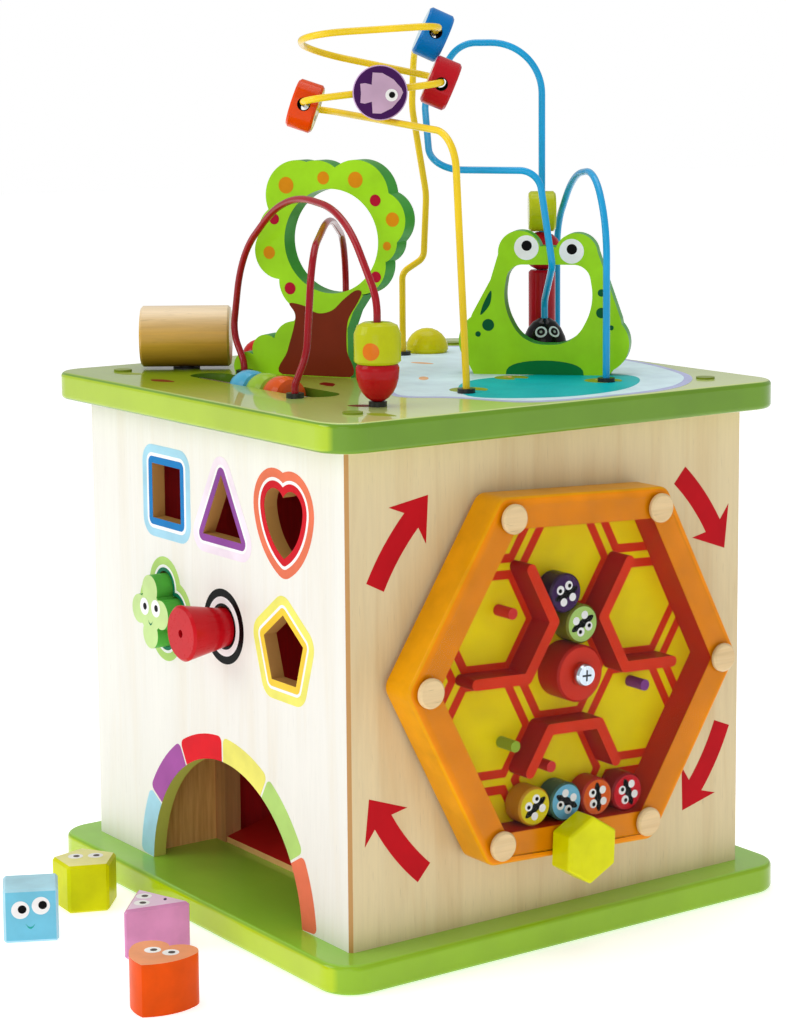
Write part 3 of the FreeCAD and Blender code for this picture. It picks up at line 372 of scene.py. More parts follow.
def smoothing(angle):
    """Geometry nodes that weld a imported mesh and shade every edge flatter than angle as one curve."""
    group = bpy.data.node_groups.new("smooth_below_%d" % angle, "GeometryNodeTree")
    for direction in ("INPUT", "OUTPUT"):
        group.interface.new_socket("Geometry", in_out=direction, socket_type="NodeSocketGeometry")
    new, link = group.nodes.new, group.links.new
    source, sink = new("NodeGroupInput"), new("NodeGroupOutput")
    weld = new("GeometryNodeMergeByDistance")
    weld.inputs["Distance"].default_value = 0.002 * MM
    bend = new("GeometryNodeInputMeshEdgeAngle")
    sharp = new("FunctionNodeCompare")
    sharp.operation = "GREATER_THAN"
    sharp.inputs["B"].default_value = math.radians(angle)
    normals = new("GeometryNodeSetMeshNormal")
    normals.mode = "SHARPNESS"
    normals.inputs["Remove Custom"].default_value = True
    link(source.outputs[0], weld.inputs["Geometry"])
    link(weld.outputs["Geometry"], normals.inputs["Mesh"])
    link(bend.outputs["Unsigned Angle"], sharp.inputs["A"])
    link(sharp.outputs["Result"], normals.inputs["Edge Sharpness"])
    link(normals.outputs["Mesh"], sink.inputs[0])
    return group


def smooth(angle, nodes):
    """Hide the facets of turned and bent pieces, leaving edges sharper than angle crisp."""
    group = smoothing(angle)
    for node in nodes:
        NODES[node].modifiers.new("smooth", "NODES").node_group = group


# -------- outlines, in millimetres
def unit(degrees):
    """Cosine and sine of an angle in degrees."""
    return math.cos(math.radians(degrees)), math.sin(math.radians(degrees))


def arc(x, y, radius, start, end, steps=12):
    """Points along an arc about (x, y), from start to end degrees."""
    turns = (unit(start + (end - start) * i / steps) for i in range(steps + 1))
    return [(x + radius * c, y + radius * s) for c, s in turns]


def turned(points, x, y, lean):
    """The points turned by lean degrees and moved to (x, y)."""
    c, s = unit(lean)
    return [(x + a * c - b * s, y + a * s + b * c) for a, b in points]


def oval(x, y, across, high, steps=40, lean=0):
    ring = arc(0, 0, 1, 0, 360 * (1 - 1 / steps), steps - 1)
    return turned([(a * across, b * high) for a, b in ring], x, y, lean)


def circle(x, y, radius, steps=40):
    return oval(x, y, radius, radius, steps)


def closed(points, steps=6):
    """A smooth closed curve through the points."""
    curve = []
    for i in range(len(points)):
        a, b, c, d = (Vector(points[(i + k) % len(points)]) for k in (-1, 0, 1, 2))
        for t in (step / steps for step in range(steps)):
            curve.append(tuple(b + 0.5 * t * ((c - a) + t * ((2 * a - 5 * b + 4 * c - d)
                                                             + t * (3 * b - a - 3 * c + d)))))
    return curve


def swollen(corners, radius, steps=6):
    """A polygon, corners anticlockwise, grown by radius, which rounds its corners."""
    points = []
    for i, corner in enumerate(corners):
        before = Vector(corner) - Vector(corners[i - 1])
        after = Vector(corners[(i + 1) % len(corners)]) - Vector(corner)
        first = math.degrees(math.atan2(-before.x, before.y))
        points += arc(*corner, radius, first, first - math.degrees(before.angle_signed(after)), steps)
    return points


def regular(x, y, sides, radius, angle=90):
    """A regular polygon with its first corner at angle."""
    turns = (unit(angle + 360 * i / sides) for i in range(sides))
    return [(x + radius * c, y + radius * s) for c, s in turns]


def union_outline(x, y, discs, steps=96):
    """Outline of overlapping discs (dx, dy, radius), seen from the middle (x, y)."""
    points = []
    for i in range(steps):
        ux, uy = unit(360 * i / steps)
        reach = 0.0
        for dx, dy, radius in discs:
            aside = ux * dy - uy * dx
            if abs(aside) < radius:
                reach = max(reach, ux * dx + uy * dy + math.sqrt(radius ** 2 - aside ** 2))
        points.append((x + reach * ux, y + reach * uy))
    return points


def heart(x, y, grow):
    """Two lobes whose sides run down as large arcs into the tip; grow moves the line outward."""
    lobe, spread, rise, drop, side = 11.0, 9.4, 8.5, 20.5, 36.0
    down = Vector((-spread, -drop - rise))
    reach = side - lobe
    bend = math.acos((side ** 2 - down.length ** 2 - reach ** 2) / (2 * reach * down.length))
    heading = math.degrees(math.atan2(down.y, down.x) + bend)
    c, s = unit(heading)
    far = Vector((spread - reach * c, rise - reach * s))
    tip = math.degrees(math.acos(-far.x / side))
    cleft = math.degrees(math.acos(-spread / (lobe + grow)))
    right = arc(spread, rise, lobe + grow, cleft, heading, 16)
    right += arc(*far, side + grow, heading, -tip, 12)[1:] + arc(0, -drop, grow, -tip, -90, 5)[1:]
    left = [(-a, b) for a, b in reversed(right)]
    return [(x + a, y + b) for a, b in right + left[1:-1]]


# -------- prints
def plane(origin, right, up):
    """Matrix of a printed face: x right, y up, z out of it."""
    right, up = Vector(right).normalized(), Vector(up).normalized()
    out = right.cross(up)
    return Matrix.Translation(origin) @ Matrix((right, up, out)).transposed().to_4x4()


def flat(name, loops, place, paint, body="cube", layer=0, thick=0.12):
    """A thin print on a face, in a named paint or a material of its own.

    Loops inside others are holes; a higher layer lies over a lower one."""
    curve = bpy.data.curves.new(name, "CURVE")
    curve.dimensions = "2D"
    curve.fill_mode = "BOTH"
    height = thick * (layer + 1) * MM
    curve.extrude = height / 2
    for loop in loops:
        spline = curve.splines.new("POLY")
        spline.points.add(len(loop) - 1)
        for point, (x, y) in zip(spline.points, loop):
            point.co = (x * MM, y * MM, 0, 1)
        spline.use_cyclic_u = True
    pattern = bpy.data.objects.new(name + "_pattern", curve)
    mesh = bpy.data.meshes.new_from_object(pattern)
    bpy.data.objects.remove(pattern)
    bpy.data.curves.remove(curve)
    mesh.name = name
    mesh.transform(place @ Matrix.Translation((0, 0, height / 2)))
    mesh.materials.clear()
    mesh.materials.append(ink(paint) if isinstance(paint, str) else paint)
    obj = placed(bpy.data.objects.new(name, mesh))
    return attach(obj, body)


def eye(name, place, body, x, y, radius, look=(0, 0), layer=0, pupil=0.45, dark="black"):
    """A white round with a pupil, which is pupil times its size and set off by look."""
    flat(name + "_white", [circle(x, y, radius)], place, "white", body, layer)
    flat(name + "_pupil", [circle(x + look[0], y + look[1], radius * pupil)], place, dark, body, layer + 1)


def smile(name, place, body, x, y, wide, drop, paint, layer=0, line=0.5):
    """A thin upward bow, mouth corners at (x - wide, y) and (x + wide, y)."""
    steps = [i / 8 for i in range(-8, 9)]
    over = [(x + wide * t, y - (drop - line) * (1 - t * t)) for t in steps]
    under = [(x + wide * t, y - (drop + line) * (1 - t * t) - 0.1) for t in reversed(steps)]
    flat(name, [over + under], place, paint, body, layer)


def middle(node):
    low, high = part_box(node)
    return (low + high) / 2


def sideways(turn):
    """To the right, level, along a face that is turned some degrees from the sorter side's way."""
    c, s = unit(turn)
    return Vector((c, s, 0))


def outward(turn):
    """Out of a face that is turned some degrees from the sorter side's way."""
    c, s = unit(turn)
    return Vector((s, -c, 0))


def standing_face(x, y, turn):
    """The front of a board that stands on the deck at (x, y), turned about the vertical."""
    return plane(Vector((x * MM, y * MM, DECK_TOP)) + outward(turn) * BOARD_HALF * MM, sideways(turn), UP)


def maze_plane(place, turn):
    """A face that looks out of the maze side, turned in its own plane by some degrees."""
    c, s = unit(turn)
    return plane(place, (0, c, s), (0, -s, c))


def bead_face(node, wire, facing, half):
    """The flat face of a drilled disc that looks toward facing, as far as its wire lets it."""
    wire, facing = Vector(wire).normalized(), Vector(facing)
    out = (facing - wire * wire.dot(facing)).normalized()
    right = Vector(UP).cross(out).normalized()
    return plane(middle(node) + out * half * MM, right, out.cross(right))


def own(node, place):
    """A place in the frame of the node itself."""
    return tuple(NODES[node].matrix_world.inverted() @ Vector(place))


# -------- the faces that carry prints
DECK_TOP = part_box("top_plate")[1].z
SORTER_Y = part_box("sorter_panel")[0].y
MAZE_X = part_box("maze_panel")[1].x
HUB = middle("maze_hub")

SORTER_FACE = plane((0, SORTER_Y, 0), (1, 0, 0), UP)
MAZE_FACE = maze_plane((MAZE_X, 0, 0), 0)
DECK_FACE = plane((0, 0, DECK_TOP), (1, 0, 0), (0, 1, 0))

# degrees from the sorter side's way: the camera, the tree, the frog, the square block
VIEW_TURN, TREE_TURN, FROG_TURN, SQUARE_TURN = 55, 30, 44, 63

# sizes in millimetres: half the thickness of tree and frog, half the height of a loose block
BOARD_HALF = 7.5
LOOSE_HALF = 15.5

# the wheel's turn in degrees; then, in millimetres, the reach of the frame's inner corners, the side of
# a honeycomb cell, the reach and rounding of the cover's corners, and the reach of the caps and the knob
WHEEL_TURN = -2.6
FRAME_INNER = 106
CELL = 38
COVER_CORNER, COVER_ROUND = 113, 8
CAP_REACH, KNOB_REACH = 113.5, 105

# holes of the sorter side as (x, z), and the middle and radius of its doorway
HOLES = {"square": (-53, 265), "triangle": (15, 259), "heart": (86, 265), "flower": (-57, 189),
         "round": (15, 190), "pentagon": (84, 186)}
DOOR_X, DOOR_Z, DOOR_RADIUS = 11, 12.5, 90


def wheel_face(x):
    return maze_plane((x, HUB.y, HUB.z), WHEEL_TURN)


LEVEL, TOWARD = sideways(VIEW_TURN), outward(VIEW_TURN)


def leaning(degrees):
    """Level along the picture, dipped by some degrees."""
    c, s = unit(degrees)
    return LEVEL * c - Vector((0, 0, s))


# each disc's wire direction, the way its printed face looks, and half its width
WIRED = {
    "disc_orange": ((0.8001, -0.594, 0.083), leaning(19), 8.5),
    "disc_red": ((-0.8184, 0.573, 0.0441), leaning(23), 8.5),
    "disc_blue": ((-0.8703, 0.4843, -0.0897), leaning(24), 8.5),
    "disc_fish": ((0.5699, 0.8139, 0.1129), TOWARD, 6),
}


# -------- camera, light and floor
# the camera, worked out from the photograph's perspective: degrees, metres and lens millimetres
CAMERA_AZIMUTH, CAMERA_ELEVATION, CAMERA_ROLL = 54.99, 7.61, -0.45
CAMERA_PLACE = (1.348, -0.9563, 0.5313)
LENS, SENSOR, LENS_SHIFT = 89.47, 36, -0.09765625

# how bright the white room is to the camera and to everything else, and the floor's own glow
ROOM_SEEN, ROOM_LIGHT, FLOOR_GLOW = 1.0, 0.55, 0.5


def studio_camera():
    """The camera stands off the cube's near corner and looks a little down."""
    azimuth, elevation, roll = (math.radians(a) for a in (CAMERA_AZIMUTH, CAMERA_ELEVATION, CAMERA_ROLL))
    back = Vector((math.sin(azimuth) * math.cos(elevation), -math.cos(azimuth) * math.cos(elevation),
                   math.sin(elevation)))
    across = Vector(UP).cross(back).normalized()
    right = across * math.cos(roll) + back.cross(across) * math.sin(roll)
    data = bpy.data.cameras.new("camera")
    data.lens = LENS
    data.sensor_width = SENSOR
    data.shift_y = LENS_SHIFT
    camera = placed(bpy.data.objects.new("camera", data))
    camera.matrix_world = Matrix((right, back.cross(right), back)).transposed().to_4x4()
    camera.location = CAMERA_PLACE
    bpy.context.scene.camera = camera


def softbox(name, place, aim, wide, power, colour=(1, 1, 1)):
    """A square lamp of that width, aimed at a place."""
    lamp = bpy.data.lights.new(name, "AREA")
    lamp.shape = "SQUARE"
    lamp.size = wide
    lamp.energy = power
    lamp.color = colour
    obj = placed(bpy.data.objects.new(name, lamp))
    obj.location = place
    obj.rotation_euler = (Vector(aim) - Vector(place)).to_track_quat("-Z", "Y").to_euler()


def studio_room():
    """A white room, which the camera sees at full white and the cube is lit by less."""
    world = bpy.data.worlds.new("studio")
    world.use_nodes = True
    tree = world.node_tree
    tree.nodes["Background"].inputs["Color"].default_value = (1, 1, 1, 1)
    seen = tree.nodes.new("ShaderNodeLightPath")
    level = tree.nodes.new("ShaderNodeMapRange")
    level.inputs["To Min"].default_value = ROOM_LIGHT
    level.inputs["To Max"].default_value = ROOM_SEEN
    tree.links.new(seen.outputs["Is Camera Ray"], level.inputs["Value"])
    tree.links.new(level.outputs["Result"], tree.nodes["Background"].inputs["Strength"])
    bpy.context.scene.world = world
    bpy.context.scene.view_settings.view_transform = "Standard"


def studio_floor():
    reach = 9
    mesh = bpy.data.meshes.new("floor")
    mesh.from_pydata([(-reach, -reach, 0), (reach, -reach, 0), (reach, reach, 0), (-reach, reach, 0)], [],
                     [(0, 1, 2, 3)])
    look = Look("studio_floor")
    tone = ramp(look, noise(look, 3, 2), (0.3, (0.93, 0.93, 0.93, 1)), (0.7, (0.95, 0.95, 0.95, 1)))
    look.link(tone, look.inputs["Base Color"])
    look.constants(Roughness=0.6, Emission_Color=(1, 1, 1, 1), Emission_Strength=FLOOR_GLOW)
    mesh.materials.append(look.material)
    floor = placed(bpy.data.objects.new("floor", mesh))


def studio():
    """Camera, room and floor, with soft light from the sorter side, from above and from the camera."""
    studio_camera()
    softbox("key", (-0.9, -2.4, 1.7), (0, 0, 0.25), 1.6, 20)
    softbox("top", (-0.3, 0.2, 2.6), (0, 0, 0.3), 1.8, 20)
    softbox("fill", (1.9, -1.9, 1.1), (0, 0, 0.25), 1.4, 7, (1.0, 0.96, 0.9))
    studio_room()
    studio_floor()


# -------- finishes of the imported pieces
def box_finishes():
    slot = (own("top_plate", middle("slot_rod")), (1, 0, 0), 30 * MM, 90 * MM)
    # the last two colours of each lacquer are a painted-lit and a painted-shaded copy of its green, for its
    # edges
    finish(lacquer("deck_green", (152, 180, 30), (206, 222, 136), (168, 196, 16), (106, 150, 24), slot),
           "top_plate")
    finish(lacquer("base_green", (150, 206, 60), (150, 206, 60), (178, 206, 0), (142, 186, 22)),
           "base_plate")
    # a painted reflection of the green base on the sawn edge round the doorway
    reflected_green_rim = (own("sorter_panel", (DOOR_X * MM, SORTER_Y, DOOR_Z * MM)), (DOOR_RADIUS + 6) * MM,
                   (206, 200, 96))
    for node, name, colours, contrast, facing, rims in (
            ("sorter_panel", "birch_pale_front", PALE_BIRCH, 0.22, ACROSS_PANELS, [reflected_green_rim]),
            ("left_panel", "birch_pale_side", PALE_BIRCH, 0.22, OUT_OF_MAZE, ()),
            ("maze_panel", "birch_front", BIRCH, 0.4, OUT_OF_MAZE, ()),
            ("back_panel", "birch_back", BIRCH, 0.4, ACROSS_PANELS, ())):
        finish(wood(name, colours, "z", 0.5, contrast, side=SAWN_EDGE, facing=facing, rims=rims), node)
    finish(wood("batten_pine", ((222, 186, 128), (196, 152, 92)), "z", 0.6), "corner_battens")
    finish(wood("post_pine", ((212, 158, 104), (184, 130, 80)), "z", 0.6), "chute_post")
    finish(board_and_paint(), "chute_side")
    finish(painted("chute_red", PAINT["maroon"], 0.5, 0.1), "chute_back")
    finish(painted("ramp_red", (186, 32, 28), 0.4, 0.3, "x", (236, 182, 118), (0.2, 0, 1)), "chute_ramp")
    finish(painted("plug_olive", (132, 150, 44), 0.35, 0.5), "deck_screws")


def board_and_paint():
    """Maroon paint that stops short of a bare ply corner low in front, where the doorway shows it."""
    bare_deep, bare_high, fade = 0.0455, 0.1315, 0.001
    look = Look("chute_side_paint")
    low = Vector(own("chute_side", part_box("chute_side")[0]))
    fibres = noise(look, 1, 5, 0.6, stretch=GRAIN["z"])
    bare = ramp(look, fibres, (0.3, linear((224, 162, 92))), (0.65, linear((250, 196, 124))))
    paint = mottled(look, fibres, PAINT["maroon"], 0.9, 1)
    back = axis_between(look, "Y", low.y + bare_deep, low.y + bare_deep + fade)
    above = axis_between(look, "Z", low.z + bare_high, low.z + bare_high + fade)
    tone = blend(look, above, blend(look, back, bare, paint), paint)
    return surface(look, tone, fibres, 0.45, 0.6, 0.1)


# each puck's paint, the colour of its side, and how far its bug is turned
PUCKS = {
    "puck_purple": ("deep_purple", (52, 28, 62), 20), "puck_lime": ("mint", (120, 122, 30), 205),
    "puck_yellow": ("yellow", (206, 150, 24), 35), "puck_blue": ("sky", (64, 106, 86), 150),
    "puck_orange": ("orange", (178, 44, 28), 95), "puck_red": ("red", (150, 18, 26), 110),
}


def clear_cover():
    """The acrylic sheet, cut out round caps, knob and hub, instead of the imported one."""
    seat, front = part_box("maze_cover")[0].x + 0.15 * MM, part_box("maze_cover")[1].x - 0.1 * MM
    rim = swollen(regular(0, 0, 6, COVER_CORNER, 0), COVER_ROUND)
    cap_hole, hub_hole = 4, 7.6
    caps_and_knob = regular(0, 0, 6, CAP_REACH, 0) + [(0, -KNOB_REACH)]
    holes = [circle(*place, cap_hole, 16) for place in caps_and_knob] + [circle(0, 0, hub_hole, 24)]
    cover = flat("clear_cover", [rim] + holes, wheel_face(seat), clear("cover_acrylic"), "maze_wheel",
                 thick=(front - seat) / MM)
    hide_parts("maze_cover")


def wheel_finishes():
    # painted light: the frame's outer sides are a lighter, yellower copy of its orange, as where light falls
    # on them
    finish(painted("frame_orange", (242, 142, 0), 0.3, 0.6, "y", (236, 160, 0), OUT_OF_MAZE), "maze_frame")
    finish(painted("board_yellow", PAINT["cell"], 0.4, 0.2, "y"), "maze_backboard")
    finish(painted("wall_red", PAINT["brick"], 0.35, 0.3, "y", (170, 20, 24), OUT_OF_MAZE), "maze_walls")
    finish(painted("hub_red", (222, 48, 24), 0.33, 0.5, "y", (190, 30, 18), OUT_OF_MAZE), "maze_hub")
    pegs = wheel_face(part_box("maze_pegs")[1].x)
    spots = [(own("maze_pegs", pegs @ Vector((x * MM, y * MM, 0))), 18 * MM, colour)
             for x, y, colour in ((56, -13.5, (130, 60, 140)), (-44, -41, (150, 180, 50)))]
    finish(painted("peg_red", (214, 48, 44), 0.35, 0.4, "x", dots=spots), "maze_pegs")
    clear_cover()
    finish(wood("cap_beech", ((232, 202, 150), (208, 172, 116)), "y", 0.42, 0.8), "maze_caps")
    finish(gloss("knob_lime", PAINT["lime"], 0.28), "maze_knob")
    finish(metal("bolt_steel", (214, 226, 238), 0.16), "maze_bolt", "maze_washer_nut")
    for node, (rim, side, _) in PUCKS.items():
        finish(gloss(node + "_paint", PAINT[rim], 0.25, side, OUT_OF_MAZE), node)


def top_finishes():
    finish(enamel("wire_yellow", (244, 208, 30)), "yellow_wire")
    finish(enamel("wire_blue", (22, 164, 222)), "blue_tall_wire", "blue_short_wire")
    finish(enamel("wire_red", (158, 6, 24)), "red_big_wire", "red_small_wire")
    finish(plastic("ferrule_black", (22, 22, 22), 0.35), "wire_ferrules")
    finish(metal("rod_steel", (170, 172, 174), 0.28), "slot_rod")
    for node, turn in (("tree", TREE_TURN), ("frog", FROG_TURN)):
        finish(painted(node + "_green", PAINT["leaf"], 0.34, 0.35, "z", PAINT["leaf_edge"], outward(turn)),
               node)
    low, high = (Vector(own("log_roller", corner)).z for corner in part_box("log_roller"))
    # painted light: the log's top turns pale where light falls and its underside turns dark with painted
    # shade
    finish(wood("log_ash", ((216, 166, 60), (180, 126, 34)), "x", 0.3, 0.9, 55, bands=[
        ("Z", low + (high - low) * 0.6, high, (244, 222, 186)),
        ("Z", low + (high - low) * 0.42, low, (134, 88, 26))]), "log_roller")
    finish(plastic("dowel_black", (26, 22, 20), 0.5), "log_dowel")
    for node, face_colour, side in (("disc_orange", (206, 190, 66), (230, 70, 4)),
                                    ("disc_red", (250, 214, 216), (192, 20, 34)),
                                    ("disc_blue", (206, 236, 250), (0, 114, 188)),
                                    ("disc_fish", (206, 168, 214), (206, 168, 214))):
        out = bead_face(node, *WIRED[node]).to_3x3().col[2]
        bore = (own(node, middle(node)), WIRED[node][0], 4.3 * MM)
        finish(gloss(node + "_paint", face_colour, 0.2, side, tuple(out), bore=bore), node)
    # an orange spot printed low on the near side of the acorn's cap
    toward, drop = Vector((0.62, -0.78, 0)), Vector((0, 0, 4 * MM))
    spot = own("acorn_cap", middle("acorn_cap") + toward * 13.6 * MM - drop)
    for name, colour, dots, *nodes in (
            ("dome_red", (206, 34, 30), (), "red_dome"), ("dome_yellow", (214, 206, 20), (), "yellow_dome"),
            ("barrel_red_paint", (178, 18, 36), (), "barrel_red", "bead_red"),
            ("disc_lime_paint", (188, 196, 24), (), "disc_lime"),
            ("ladybug_black", (16, 14, 16), ladybug_eyes(), "bead_ladybug"),
            ("acorn_red", (190, 20, 28), (), "acorn_nut"),
            ("acorn_lime", (196, 202, 24), [(spot, 5.2 * MM, (226, 120, 30))], "acorn_cap"),
            ("crawler_blue_paint", (84, 176, 214), (), "crawler_blue"),
            ("crawler_lime_paint", (160, 200, 60), (), "crawler_lime"),
            ("crawler_orange_paint", (224, 92, 34), (), "crawler_orange")):
        finish(gloss(name, colour, dots=dots), *nodes)


def ladybug_eyes():
    """Two ringed eyes low on the bead's front, each a white ring, a black ring and a white glint."""
    low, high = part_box("bead_ladybug")
    centre, rise = (low + high) / 2, 22.5 * MM
    radius = (high.x - low.x) / 2 * math.sqrt(1 - (rise / (high.z - low.z)) ** 2)
    dots = []
    for c, s in (unit(-50), unit(-4)):
        place = Vector((centre.x + radius * c, centre.y + radius * s, low.z + rise))
        dots += [(own("bead_ladybug", place), reach * MM, colour)
                 for reach, colour in ((4.0, (206, 222, 222)), (2.8, (14, 12, 14)), (1.3, (150, 168, 160)))]
    return dots


def block_finishes():
    """Each block's front or top is a second, mostly paler, paint."""
    for node, name, colour, side, grain, facing in (
            ("block_square", "block_blue", (117, 199, 226), (176, 222, 238), "z", outward(SQUARE_TURN)),
            ("block_pentagon", "block_yellow", (240, 236, 160), (220, 220, 0), "z", UP),
            ("block_triangle", "block_pink", (236, 206, 230), (218, 146, 192), "z", UP),
            ("block_heart", "block_orange", (240, 158, 110), (228, 80, 0), "z", UP),
            ("block_flower", "block_flower_green", (198, 226, 150), (84, 176, 66), "y", ACROSS_PANELS)):
        finish(painted(name, colour, 0.36, 0.3, grain, side, facing), node)
    finish(painted("block_red", (200, 12, 26), 0.28, 0.9, "y"), "block_round")


# -------- sorter side
# how far a hole stands clear of its block, and the radius of the round hole, in millimetres
SHAPE_GAP = 0.8
ROUND_HOLE = 12.8


def sorter_prints():
    """Round each hole a coloured band, a white one and a second coloured one."""
    def polygon(shape, sides, radius, angle):
        corners = regular(*HOLES[shape], sides, radius, angle)
        return lambda grow: swollen(corners, grow) if grow > SHAPE_GAP else swollen(corners, 0.01, 1)

    def petals(grow):
        small = 9.5 + grow
        round_about = [(x, y, small) for x, y in ((13.5, 0), (-13.5, 0), (0, 14.5), (0, -14.5))]
        return union_outline(*HOLES["flower"], [(0, 0, 13.5 + grow)] + round_about)

    rings = {
        "square": (polygon("square", 4, (17 + SHAPE_GAP) * math.sqrt(2), 45), 0,
                   ("blue", 4.6), ("white", 6.8), ("pale_blue", 12.2)),
        "triangle": (polygon("triangle", 3, 25 + 2 * SHAPE_GAP, 90), 0,
                     ("purple", 4.6), ("white", 6.4), ("pale_lilac", 11.5)),
        "heart": (lambda grow: heart(*HOLES["heart"], grow), SHAPE_GAP,
                  ("red", 5.4), ("white", 7.4), ("coral", 13)),
        "flower": (petals, SHAPE_GAP, ("forest", 3.2), ("white", 5.0), ("mint", 10.2)),
        "round": (lambda radius: circle(*HOLES["round"], radius, 64), ROUND_HOLE,
                  ("black", 14.6), ("white", 18.8), ("black", 23.8)),
        "pentagon": (polygon("pentagon", 5, 22 + SHAPE_GAP / unit(36)[0], 90), 0,
                     ("gold", 4.4), ("white", 6.2), ("pale_yellow", 11.8)),
    }
    for name, (outline, inner, *bands) in rings.items():
        for band, (colour, outer) in zip(("inner", "gap", "outer"), bands):
            flat("ring_%s_%s" % (name, band), [outline(outer), outline(inner)], SORTER_FACE, colour)
            inner = outer


def doorway_prints():
    """Six painted stones round the doorway, each with its outer corners rounded."""
    outer, corner, joint, foot = DOOR_RADIUS + 16, 4, 0.5, 3.6
    aside = math.degrees(math.asin(corner / (outer - corner)))

    def corner_arc(angle, first, last):
        c, s = unit(angle)
        return arc(DOOR_X + (outer - corner) * c, DOOR_Z + (outer - corner) * s, corner, first, last, 4)

    for i, colour in enumerate(("coral", "mint", "pale_yellow", "scarlet", "orchid", "pale_blue")):
        low = max(30 * i + joint, foot)
        high = min(30 * (i + 1) - joint, 180 - foot)
        outline = arc(DOOR_X, DOOR_Z, DOOR_RADIUS, low, high, 10)
        outline += corner_arc(high - aside, high + 90, high - aside)
        outline += arc(DOOR_X, DOOR_Z, outer, high - aside, low + aside, 8)[1:-1]
        outline += corner_arc(low + aside, low + aside, low - 90)
        flat("doorway_stone_%d" % i, [outline], SORTER_FACE, colour)


# -------- maze side
def arrow_prints():
    """Four bent arrows round the wheel, clockwise, each from the angle of its tail to that of its tip."""
    y, z, radius, half, head, head_turn, barb = 0, 168, 149, 6.9, 18, 7, 1.6

    def point(reach, angle):
        return arc(y, z, reach, angle, angle, 1)[:1]

    for i, (tail, tip) in enumerate(((153.5, 129), (47.5, 23), (-22, -46), (228, 203))):
        neck = tip + head_turn
        outline = arc(y, z, radius + half, tail, neck, 8)
        outline += point(radius + head, neck + barb) + point(radius + 2, tip)
        outline += point(radius - head, neck + barb)
        outline += arc(y, z, radius - half, neck, tail, 8)
        flat("arrow_%d" % i, [outline], MAZE_FACE, "dark_red")


def clip_hexagon(points, inradius):
    """The part of a convex outline inside a hexagon whose sides are that far from the middle."""
    for i in range(6):
        normal = Vector(unit(30 + 60 * i))
        kept = []
        for a, b in zip(points, points[1:] + points[:1]):
            da, db = normal.dot(Vector(a)) - inradius, normal.dot(Vector(b)) - inradius
            if da <= 0:
                kept.append(a)
            if da * db < 0:
                share = da / (da - db)
                kept.append((a[0] + (b[0] - a[0]) * share, a[1] + (b[1] - a[1]) * share))
        points = kept
    return points


def comb_prints():
    """Every cell of the honeycomb has its own printed outline, with a yellow line between."""
    board = wheel_face(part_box("maze_backboard")[1].x)
    room = FRAME_INNER * math.sqrt(3) / 2 - 0.3
    outer, inner = CELL - 2.6, CELL - 9
    for column in range(-3, 4):
        for row in range(-3, 4):
            x, y = 1.5 * CELL * column, math.sqrt(3) * CELL * (row + (column % 2) / 2)
            rim = clip_hexagon(regular(x, y, 6, outer, 0), room)
            hole = clip_hexagon(regular(x, y, 6, inner, 0), room - 0.05)
            name = "comb_%d_%d" % (column + 3, row + 3)
            if len(rim) > 2:
                flat(name, [rim], board, "brick", "maze_wheel")
                if len(hole) > 2:
                    flat(name + "_cell", [hole], board, "cell", "maze_wheel", layer=1)


def frame_lining():
    """The frame's inner walls are painted dark red."""
    back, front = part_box("maze_backboard")[1].x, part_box("maze_frame")[1].x
    loops = [regular(0, 0, 6, FRAME_INNER - inset, 0) for inset in (0.05, 0.25)]
    flat("frame_lining", loops, wheel_face(back), painted("lining_red", (204, 50, 22), 0.4, 0.2, "y"),
         "maze_wheel", thick=(front - back) / MM - 0.4)


def puck_prints():
    """A small bug on each puck: its own tilt, a dark band, eyes and two cheeks."""
    for node, (rim, _, tilt) in PUCKS.items():
        centre = middle(node)
        face = maze_plane((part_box(node)[1].x, centre.y, centre.z), tilt)
        flat(node + "_face", [circle(0, 0, 9.6)], face, rim, node)
        flat(node + "_band", [oval(0, -0.4, 9.2, 2.6)], face, "black", node, 1)
        for side in (-1, 1):
            eye("%s_eye_%d" % (node, side + 1), face, node, 3.4 * side, 3.6, 2.8, (0.4 * side, -0.3), 2)
            flat("%s_cheek_%d" % (node, side + 1), [circle(3.6 * side, -4.4, 2.5)], face, "white", node, 2)


def bolt_detail():
    """A cross recess pressed into the bolt's head."""
    arm, half = 3.4, 0.6
    corner = [(-arm, -half), (-half, -half), (-half, -arm)]
    cross = []
    for _ in range(4):
        cross += corner
        corner = [(-y, x) for x, y in corner]
    flat("bolt_cross", [cross], wheel_face(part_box("maze_bolt")[1].x),
         metal("recess_steel", (60, 64, 70), 0.45), thick=0.05)


